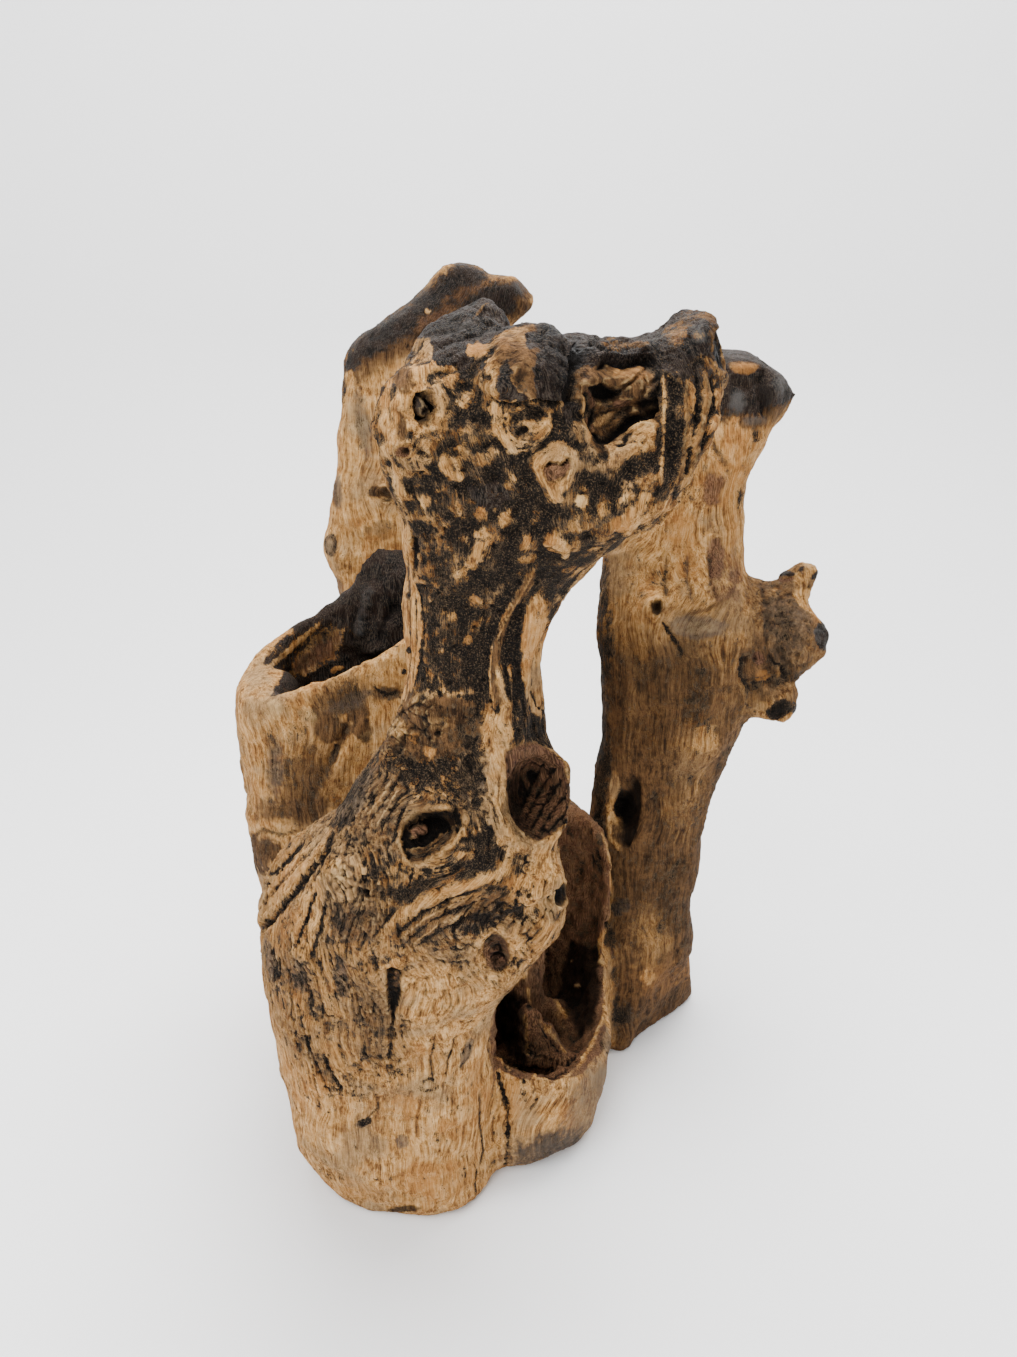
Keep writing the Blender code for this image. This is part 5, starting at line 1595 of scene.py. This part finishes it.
@dataclass(frozen=True)
class WeatheredWood:
    """Bare root wood that water and sun have bleached, with bark left on it and charred ends.

    To the eye it is matt and fibrous. Tan sapwood shows between dark remains of bark, the grain is drawn in fine
    streaks about half a millimetre wide, and the char has a faint bluish sheen.
    """

    light: str = "#DCB27A"
    tan: str = "#AE814B"
    streak: str = "#77502B"
    shade: str = "#342214"
    brown_light: str = "#6F5032"
    brown_dark: str = "#1C130C"
    wash_grey: str = "#75654E"
    wash_warm: str = "#A36C38"
    film_light: str = "#66523C"
    film_dark: str = "#18120D"
    bark_dark: str = "#040303"
    bark: str = "#15110D"
    bark_dust: str = "#67543E"
    char_dark: str = "#030303"
    char_brown: str = "#1F140E"
    char_painted_sheen: str = "#40372F"
    ash_and_sheen: str = "#5A5754"
    grey: str = "#4A4641"
    red: str = "#7A5642"
    red_dark: str = "#332219"
    pale: str = "#CFAE78"
    orange: str = "#A06C38"
    painted_shade_black: str = "#040201"
    fibre_width: float = 1.7
    fibre_length: float = 46.0
    thread_width: float = 0.42
    thread_length: float = 18.0
    vein_width: float = 3.4
    vein_length: float = 80.0
    wash_size: float = 26.0
    blotch_size: float = 6.5
    mottle_size: float = 3.0
    dust_size: float = 0.55
    roughness: float = 0.8
    char_roughness: float = 0.5
    bump_depth: float = 0.75
    gloss: float = 0.1

    def material(self) -> bpy.types.Material:
        """Build the finish from nodes.

        Returns:
            The material. It reads the attributes grain, stain_a and stain_and_painted_light_b.
        """
        made = bpy.data.materials.new("weathered_wood")
        made.use_nodes = True
        tree = made.node_tree
        shader = tree.nodes["Principled BSDF"]

        grain = add_node(tree, "ShaderNodeAttribute", {"attribute_name": "grain"}).outputs["Vector"]
        place = add_node(tree, "ShaderNodeTexCoord").outputs["Object"]
        first = add_node(tree, "ShaderNodeAttribute", {"attribute_name": "stain_a"})
        second = add_node(tree, "ShaderNodeAttribute", {"attribute_name": "stain_and_painted_light_b"})
        split_a = add_node(tree, "ShaderNodeSeparateColor", links={0: first.outputs["Color"]})
        split_b = add_node(tree, "ShaderNodeSeparateColor", links={0: second.outputs["Color"]})
        bark, char, grey = split_a.outputs
        pale, deep, tone = split_b.outputs
        red, orange = first.outputs["Alpha"], second.outputs["Alpha"]

        def noise(source: bpy.types.NodeSocket, scale: tuple, detail: float) -> bpy.types.NodeSocket:
            """A noise texture with a scale for each axis."""
            mapped = add_node(tree, "ShaderNodeMapping", {"Scale": scale}, {"Vector": source})
            return add_node(
                tree, "ShaderNodeTexNoise", {"Scale": 1.0, "Detail": detail, "Roughness": 0.62},
                {"Vector": mapped.outputs[0]},
            ).outputs[0]

        def math_node(kind: str, *terms: object) -> bpy.types.NodeSocket:
            """A sum, product or other number.

            Args:
                kind: The sum's name.
                terms: Its sockets and plain numbers, in order.

            Returns:
                The socket with the number.
            """
            numbers = {k: term for k, term in enumerate(terms) if isinstance(term, (int, float))}
            sockets = {k: term for k, term in enumerate(terms) if not isinstance(term, (int, float))}
            return add_node(tree, "ShaderNodeMath", {"operation": kind, **numbers}, sockets).outputs[0]

        def stretched(value: bpy.types.NodeSocket, low: float, high: float) -> bpy.types.NodeSocket:
            """A number moved from low and high to 0 and 1, with both ends rounded off."""
            return add_node(
                tree, "ShaderNodeMapRange", {"interpolation_type": "SMOOTHSTEP", 1: low, 2: high}, {0: value}
            ).outputs[0]

        def mixed(share: bpy.types.NodeSocket, below: object, above: object, kind: str = "MIX") -> bpy.types.NodeSocket:
            """One colour over another.

            Args:
                share: How much of the upper one shows.
                below: The lower colour, as hex or as a socket.
                above: The upper colour, as hex or as a socket.
                kind: How they blend.

            Returns:
                The socket with the colour.
            """
            settings: dict = {"data_type": "RGBA", "blend_type": kind}
            links = {0: share}
            for socket, colour in ((6, below), (7, above)):
                if isinstance(colour, str):
                    settings[socket] = linear(colour)
                else:
                    links[socket] = colour
            return add_node(tree, "ShaderNodeMix", settings, links).outputs[2]

        def cover(
            mask: bpy.types.NodeSocket, rough: bpy.types.NodeSocket, amount: float, soft: float
        ) -> bpy.types.NodeSocket:
            """Sharpen a soft mask, with an edge made ragged by a noise."""
            raised = math_node("MULTIPLY_ADD", rough, amount, math_node("SUBTRACT", mask, amount / 2))
            return stretched(raised, 0.5 - soft, 0.5 + soft)

        def along(width: float, length: float, detail: float) -> bpy.types.NodeSocket:
            """A noise stretched along the grain, by its width and length in millimetres."""
            return noise(grain, (1 / width, 1 / width, 1 / length), detail)

        def evenly(size: float, detail: float) -> bpy.types.NodeSocket:
            """A noise of the same size in all directions, in millimetres."""
            return noise(place, (1 / (size * MM),) * 3, detail)

        def share_of(value: bpy.types.NodeSocket, amount: float) -> bpy.types.NodeSocket:
            """A number times an amount."""
            return math_node("MULTIPLY", value, amount)

        wide = along(self.fibre_width, self.fibre_length, 4)
        thread = along(self.thread_width, self.thread_length, 2)
        vein = along(self.vein_width, self.vein_length, 3)
        wash = evenly(self.wash_size, 3)
        blotch = evenly(self.blotch_size, 5)
        mottle = evenly(self.mottle_size, 5)
        dust = evenly(self.dust_size, 3)

        # Bare wood: light, with streaks along the grain and dark specks of dust between the fibres.
        streaks = math_node("MULTIPLY_ADD", thread, 0.24, share_of(wide, 0.34))
        streaks = math_node("MULTIPLY_ADD", mottle, 0.18, streaks)
        streaks = math_node("MULTIPLY_ADD", blotch, 0.24, streaks)
        ramp = add_node(tree, "ShaderNodeValToRGB", links={0: streaks})
        stops = ((0.38, self.shade), (0.44, self.streak), (0.50, self.tan), (0.60, self.light))
        while len(ramp.color_ramp.elements) < len(stops):
            ramp.color_ramp.elements.new(0.5)
        for element, (position, colour) in zip(ramp.color_ramp.elements, stops):
            element.position, element.color = position, linear(colour)
        colour = mixed(share_of(stretched(wash, 0.50, 0.66), 0.5), ramp.outputs[0], self.wash_grey)
        colour = mixed(share_of(stretched(wash, 0.48, 0.34), 0.4), colour, self.wash_warm)
        brown = mixed(stretched(streaks, 0.40, 0.60), self.brown_dark, self.brown_light)
        colour = mixed(cover(tone, blotch, 0.8, 0.4), colour, brown)
        colour = mixed(share_of(cover(orange, mottle, 0.8, 0.4), 0.55), colour, self.orange)
        colour = mixed(share_of(cover(grey, mottle, 0.8, 0.4), 0.7), colour, self.grey)
        red_wood = mixed(stretched(thread, 0.36, 0.66), self.red_dark, self.red)
        colour = mixed(share_of(cover(red, mottle, 0.7, 0.35), 0.85), colour, red_wood)
        # Pale wood: partly bleached wear and partly painted highlight on ridges, on the horn and in glints.
        colour = mixed(share_of(cover(pale, mottle, 0.8, 0.4), 0.5), colour, self.pale)
        away = math_node("ABSOLUTE", math_node("SUBTRACT", vein, 0.5))
        line = math_node("SUBTRACT", 1.0, stretched(away, 0.0, 0.014))
        colour = mixed(share_of(line, 0.55), colour, self.shade)
        colour = mixed(share_of(stretched(dust, 0.60, 0.72), 0.6), colour, self.shade)

        # Bark: a brown film where it is thin, black where it is whole, with dust in it.
        torn = math_node("MULTIPLY_ADD", thread, 0.35, share_of(dust, 0.22))
        torn = math_node("MULTIPLY_ADD", mottle, 0.43, torn)
        bark_here = math_node("MULTIPLY_ADD", torn, 3.2, math_node("SUBTRACT", bark, 1.6))
        film = mixed(stretched(mottle, 0.38, 0.62), self.film_dark, self.film_light)
        whole = mixed(stretched(mottle, 0.38, 0.66), self.bark_dark, self.bark)
        whole = mixed(share_of(stretched(dust, 0.50, 0.68), 0.6), whole, self.bark_dust)
        bark_share = stretched(bark_here, 0.32, 0.52)
        colour = mixed(bark_share, colour, film)
        colour = mixed(stretched(bark_here, 0.48, 0.68), colour, whole)

        # Char: black and brown, with a painted sheen along the grain in a lighter char colour.
        char_share = cover(char, torn, 2.6, 0.16)
        burnt = mixed(stretched(blotch, 0.40, 0.60), self.char_dark, self.char_brown)
        burnt = mixed(share_of(stretched(thread, 0.49, 0.60), 0.9), burnt, self.char_painted_sheen)
        burnt = mixed(share_of(stretched(dust, 0.58, 0.72), 0.6), burnt, self.bark_dust)
        # Grey over char turns it ash-grey: partly ash and partly painted sheen and highlight.
        burnt = mixed(share_of(cover(grey, mottle, 1.0, 0.4), 0.6), burnt, self.ash_and_sheen)
        colour = mixed(char_share, colour, burnt)

        # Painted shade: the deep stain darkens the colour nearly to black in cracks, holes, grooves and hollows.
        colour = mixed(share_of(deep, 0.92), colour, self.painted_shade_black)
        tree.links.new(colour, shader.inputs["Base Color"])

        rough = math_node("MULTIPLY_ADD", char_share, self.char_roughness - self.roughness, self.roughness)
        tree.links.new(math_node("MULTIPLY_ADD", dust, 0.12, rough), shader.inputs["Roughness"])
        shader.inputs["Specular IOR Level"].default_value = self.gloss

        height = math_node("MULTIPLY_ADD", thread, 0.7, share_of(wide, 0.6))
        height = math_node("MULTIPLY_ADD", dust, 0.7, height)
        height = math_node("MULTIPLY_ADD", mottle, 0.5, height)
        height = math_node("MULTIPLY_ADD", bark_share, 0.4, height)
        bump = add_node(
            tree, "ShaderNodeBump", {"Strength": 1.0, "Distance": self.bump_depth * MM}, {"Height": height}
        )
        tree.links.new(bump.outputs[0], shader.inputs["Normal"])
        return made


@dataclass(frozen=True)
class PaleCard:
    """Matt pale card, as a photographer's sweep is made of."""

    colour: str = "#F7F7F7"
    roughness: float = 0.9

    def material(self) -> bpy.types.Material:
        """Build the finish."""
        made = bpy.data.materials.new("pale_card")
        made.use_nodes = True
        shader = made.node_tree.nodes["Principled BSDF"]
        shader.inputs["Base Color"].default_value = linear(self.colour)
        shader.inputs["Roughness"].default_value = self.roughness
        return made


# ---- the whole


@dataclass(frozen=True)
class Piece:
    """A piece that the skin is parted into: its name, its solid, and between which two heights or depths."""

    name: str
    node: str
    axis: int = 2
    low: float = -1e9
    high: float = 1e9


@dataclass
class Driftwood:
    """The centerpiece: one skin, carved, stained and parted at its forks."""

    eye: Eye
    limbs: tuple = field(
        default_factory=lambda: (
            Head(), Neck(), Shoulder(), Foot(), Bowl(), Stump(), TallLimb(), RightLimb(), Spur(), Sides(),
        )
    )
    blend: int = 90
    lump_size: float = 17.0
    knob_size: float = 6.5
    wander_size: float = 21.0
    wander: float = 2.4
    flake_size: tuple = (2.4, 2.4, 22.0)
    blotch_size: float = 8.5
    fibre_size: tuple = (1.5, 1.5, 30.0)
    groove_size: tuple = (3.0, 3.0, 48.0)
    pit_size: float = 2.7
    pieces: tuple[Piece, ...] = (
        Piece("head_skin", "front_limb", 2, 318.0),
        Piece("neck_skin", "front_limb", 2, 236.0, 318.0),
        Piece("shoulder_skin", "front_limb", 2, 160.0, 236.0),
        Piece("trunk_skin", "front_limb", 2, high=160.0),
        Piece("foot_skin", "root_crown", 1, high=-48.0),
        Piece("crown_front_skin", "root_crown", 1, -48.0, -20.0),
        Piece("crown_back_skin", "root_crown", 1, -20.0),
        Piece("stump_skin", "hollow_stump"),
        Piece("tall_limb_skin", "tall_limb"),
        Piece("right_limb_skin", "right_limb"),
        Piece("spur_skin", "side_spur"),
    )

    def build(self, nodes: dict[str, bpy.types.Object]) -> list[bpy.types.Object]:
        """Make the wood.

        Args:
            nodes: The CAD solids, by name.

        Returns:
            The finished pieces.
        """
        skin = Skin(nodes, self.eye)
        self.first_stains(skin)
        self.lump(skin)
        for limb in self.limbs:
            if hasattr(limb, "stain"):
                limb.stain(skin)
            for mark in limb.marks:
                mark.make(skin)
            log.info("%s: %d marks", type(limb).__name__, len(limb.marks))
            skin.write()
        grain = self.grain(skin)
        self.weather(skin, grain)
        skin.write()
        return self.parted(skin, grain)

    def first_stains(self, skin: Skin) -> None:
        """Give each limb its own share of bark, its own tone and its own fibres.

        Args:
            skin: The skin.
        """
        z = skin.places[:, 2]
        bark, tone, fibre = skin.stains["bark"], skin.stains["tone"], skin.stains["fibre"]
        levels = {
            "front_limb": np.interp(z, (95, 130, 190, 225, 250, 320, 400), (0.16, 0.24, 0.48, 0.56, 0.82, 0.72, 0.64)),
            "root_crown": np.interp(z, (0, 60, 100), (0.02, 0.10, 0.16)),
            "hollow_stump": np.full(len(z), 0.08),
            "tall_limb": np.full(len(z), 0.02),
            "right_limb": np.interp(z, (0, 120, 240, 300), (0.24, 0.18, 0.16, 0.12)),
            "side_spur": np.full(len(z), 0.22),
        }
        tones = {
            "front_limb": 0.4, "root_crown": 0.16, "hollow_stump": 0.2,
            "tall_limb": 0.0, "right_limb": 0.68, "side_spur": 0.66,
        }
        fibres = {
            "front_limb": np.interp(z, (95, 150, 230, 300), (0.6, 1.1, 0.8, 0.35)), "root_crown": np.full(len(z), 0.5),
            "hollow_stump": np.full(len(z), 0.5), "tall_limb": np.full(len(z), 0.4),
            "right_limb": np.full(len(z), 0.45), "side_spur": np.full(len(z), 0.8),
        }
        for name in skin.names:
            mine = skin.is_part(name)
            bark[mine], tone[mine], fibre[mine] = levels[name][mine], tones[name], fibres[name][mine]
        tone += np.where(skin.is_part("right_limb"), np.clip((200 - z) / 200, -0.4, 0.2), 0)
        for name in ("bark", "tone", "fibre"):
            skin.stains[name] = skin.spread(skin.stains[name], self.blend)

    def lump(self, skin: Skin) -> None:
        """Raise and sink the skin in lumps of a thumb's width and less.

        Args:
            skin: The skin.
        """
        cloud = Cloud(5)
        head = eased((skin.places[:, 2] - 300) / 30) * skin.is_part("front_limb")
        lumps = cloud.sum(skin.places / self.lump_size, 2)
        lumps += (0.5 + 0.9 * head) * cloud.single(skin.places / self.knob_size + 30)
        skin.places += lumps[:, None] * skin.outward
        skin.write()

    def grain(self, skin: Skin) -> Array:
        """Work out coordinates that run with the fibres.

        Args:
            skin: The skin.

        Returns:
            Three numbers for each vertex, of which the third is along the fibres.
        """
        grain = skin.places.copy()
        for limb in self.limbs:
            for flow in limb.flow:
                flow.bend(skin, grain)
        cloud = Cloud(23)
        for axis in (0, 1):
            grain[:, axis] += self.wander * cloud.sum(skin.places / self.wander_size + 50 * axis, 2)
        return grain

    def weather(self, skin: Skin, grain: Array) -> None:
        """Scatter bark remains, raise the fibres, then pale the ridges as wear and painted highlight, and paint shade
        into the grooves, pits and hollows.

        Args:
            skin: The skin.
            grain: Its coordinates along the fibres.
        """
        cloud = Cloud(31)
        stains = skin.stains
        head = eased((skin.places[:, 2] - 280) / 40) * skin.is_part("front_limb")
        streaky = cloud.sum(grain / np.array(self.flake_size), 3)
        blotchy = cloud.sum(skin.places / self.blotch_size, 4)
        flaky = blotchy * head + (0.6 * streaky + 0.5 * blotchy) * (1 - head)
        bark = stains["bark"]
        bark += 0.38 * flaky * (1 - np.abs(2 * bark - 1) ** 4)
        fibre = cloud.sum(grain / np.array(self.fibre_size) + 7, 2)
        groove = eased(1 - np.abs(cloud.single(grain / np.array(self.groove_size) + 3)) / 0.11)
        pits = eased((cloud.sum(skin.places / self.pit_size + 90, 2) - 0.42) / 0.2) * eased((bark - 0.3) / 0.3)
        plates = eased((bark + 0.35 * skin.grit - 0.42) / 0.14)
        charred = stains["char"] * head
        worn = stains["fibre"] + 0.7 * charred
        relief = worn * (0.34 * fibre - 0.6 * groove)
        relief += (1 - 0.85 * charred) * (0.13 * skin.grit + 0.35 * plates - 0.6 * pits)
        skin.places += relief[:, None] * skin.outward
        # Painted shade in the grooves along the grain and in the pits of the bark.
        stains["deep"] += 0.5 * groove * eased(stains["fibre"] - 0.2) + 0.5 * pits
        skin.write()
        fine = skin.spread(np.clip(skin.hollowness(), -0.7, 0.7), 2)
        broad = skin.spread(fine, 14)
        bark += 0.5 * np.clip(fine * 2, -0.25, 0.3) + 1.2 * np.clip(broad * 4, -0.2, 0.25)
        # Painted shade in the hollows, at a fine and a broad scale.
        stains["deep"] += 0.45 * eased(fine * 5 - 0.3) + 0.45 * eased(broad * 12 - 0.3)
        # Bare ridges turn pale: partly wear and partly painted highlight.
        bare = (1 - stains["char"]) * (1 - stains["red"]) * (1 - eased(bark * 2 - 0.8))
        stains["pale"] += 0.45 * eased(-fine * 5 - 0.25) * bare
        for name in STAINS:
            np.clip(stains[name], 0, 1, out=stains[name])

    def parted(self, skin: Skin, grain: Array) -> list[bpy.types.Object]:
        """Write the stains on the mesh and part it into pieces.

        Args:
            skin: The skin.
            grain: Its coordinates along the fibres.

        Returns:
            The finished pieces.
        """
        mesh = skin.object.data
        # The second attribute holds pale, deep, tone and orange: deep is painted shade and pale is partly painted
        # highlight.
        for name, members in (("stain_a", STAINS[:4]), ("stain_and_painted_light_b", STAINS[4:])):
            values = np.stack([skin.stains[member] for member in members], 1).astype(np.float32)
            mesh.attributes.new(name, "FLOAT_COLOR", "POINT").data.foreach_set("color", values.ravel())
        for name, vectors in (("grain", grain), ("skin_normal", skin.outward)):
            mesh.attributes.new(name, "FLOAT_VECTOR", "POINT").data.foreach_set(
                "vector", vectors.astype(np.float32).ravel()
            )
        wood = WeatheredWood().material()
        mesh.materials.clear()
        for _ in self.pieces:
            mesh.materials.append(wood)
        slots = self.slots(skin)
        mesh.polygons.foreach_set("material_index", slots)
        mesh.attributes.new("slot", "INT", "FACE").data.foreach_set("value", slots)
        bpy.ops.object.select_all(action="DESELECT")
        skin.object.select_set(True)
        bpy.context.view_layer.objects.active = skin.object
        bpy.ops.object.mode_set(mode="EDIT")
        bpy.ops.mesh.select_all(action="SELECT")
        bpy.ops.mesh.separate(type="MATERIAL")
        bpy.ops.object.mode_set(mode="OBJECT")
        return [self.finished(piece, wood) for piece in list(bpy.context.selected_objects)]

    def slots(self, skin: Skin) -> Array:
        """Work out which piece each face belongs to.

        Args:
            skin: The skin.

        Returns:
            The piece's number for each face.
        """
        mesh = skin.object.data
        centre = np.empty(len(mesh.polygons) * 3, np.float32)
        mesh.polygons.foreach_get("center", centre)
        centre = centre.reshape(-1, 3) / MM
        part = np.empty(len(mesh.polygons), np.int32)
        mesh.attributes["part"].data.foreach_get("value", part)
        slots = np.zeros(len(part), np.int32)
        for number, piece in enumerate(self.pieces):
            mine = part == skin.names.index(piece.node)
            mine &= (centre[:, piece.axis] >= piece.low) & (centre[:, piece.axis] < piece.high)
            slots[mine] = number
        return slots

    def finished(self, piece: bpy.types.Object, wood: bpy.types.Material) -> bpy.types.Object:
        """Name a parted piece and say which solid it stands for.

        Args:
            piece: The mesh object that came off the skin.
            wood: Its finish.

        Returns:
            The piece.
        """
        mesh = piece.data
        part = self.pieces[mesh.attributes["slot"].data[0].value]
        mesh.materials.clear()
        mesh.materials.append(wood)
        piece.name = mesh.name = part.name
        normals = np.empty(len(mesh.vertices) * 3, np.float32)
        mesh.attributes["skin_normal"].data.foreach_get("vector", normals)
        mesh.shade_smooth()
        mesh.normals_split_custom_set_from_vertices(normals.reshape(-1, 3))
        for spent in ("skin_normal", "slot", "part"):
            mesh.attributes.remove(mesh.attributes[spent])
        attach(piece, "root")
        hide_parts(part.node)
        log.info("%s: %d triangles for %s", part.name, len(mesh.polygons), part.node)
        return piece


@dataclass
class Stage:
    """A pale sweep for a floor, turned up on all sides, and soft light from above."""

    floor: float = 6.0
    wall: float = 0.62
    height: float = 3.0
    bend: float = 0.30
    bend_steps: int = 24
    middle: float = 0.18
    sky: tuple = (0.9, 0.93, 1.0, 1.0)
    sky_strength: float = 0.30
    lamps: tuple = (
        ("key", (-0.5, -0.7, 1.15), 0.9, 25),
        ("fill", (0.8, -0.75, 0.7), 1.0, 6),
        ("top", (0.1, 0.28, 1.25), 0.9, 34),
    )

    def build(self) -> None:
        """Make the sweep and the lights."""
        bpy.ops.object.select_all(action="DESELECT")
        bpy.ops.mesh.primitive_plane_add(size=self.floor, location=(0, self.wall - self.floor / 2, 0))
        sweep = bpy.context.object
        sweep.name = "sweep"
        bpy.ops.object.mode_set(mode="EDIT")
        bpy.ops.mesh.select_mode(type="EDGE")
        bpy.ops.mesh.select_all(action="SELECT")
        bpy.ops.mesh.extrude_edges_move(TRANSFORM_OT_translate={"value": (0, 0, self.height)})
        bpy.ops.object.mode_set(mode="OBJECT")
        for edge in sweep.data.edges:
            edge.select = any(sweep.data.vertices[v].co.z < 0.01 for v in edge.vertices)
        bpy.ops.object.mode_set(mode="EDIT")
        bpy.ops.mesh.bevel(offset=self.bend, segments=self.bend_steps)
        bpy.ops.mesh.select_all(action="SELECT")
        bpy.ops.mesh.normals_make_consistent(inside=True)
        bpy.ops.object.mode_set(mode="OBJECT")
        sweep.data.shade_smooth()
        sweep.data.materials.append(PaleCard().material())
        for lamp in self.lamps:
            self.lamp(*lamp)
        world = bpy.data.worlds.new("studio")
        bpy.context.scene.world = world
        world.use_nodes = True
        background = world.node_tree.nodes["Background"]
        background.inputs["Color"].default_value = self.sky
        background.inputs["Strength"].default_value = self.sky_strength

    def lamp(self, name: str, place: tuple[float, float, float], size: float, power: float) -> None:
        """Add a square soft light that faces the wood.

        Args:
            name: Its name.
            place: Where it hangs, in metres.
            size: Its width, in metres.
            power: Its power, in watts.
        """
        bpy.ops.object.light_add(type="AREA", location=place)
        light = bpy.context.object
        light.name = name
        light.data.size = size
        light.data.energy = power
        aim = Vector((0, 0, self.middle)) - Vector(place)
        light.rotation_euler = aim.to_track_quat("-Z", "Y").to_euler()


def main() -> None:
    """Load the frame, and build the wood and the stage."""
    logging.basicConfig(level=logging.INFO, format="%(name)s %(message)s")
    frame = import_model()
    bpy.ops.object.select_all(action="DESELECT")
    eye = Eye()
    for piece in Driftwood(eye).build(frame["nodes"]):
        piece.select_set(False)
    Stage().build()
    eye.stand()


if __name__ == "__main__":
    main()
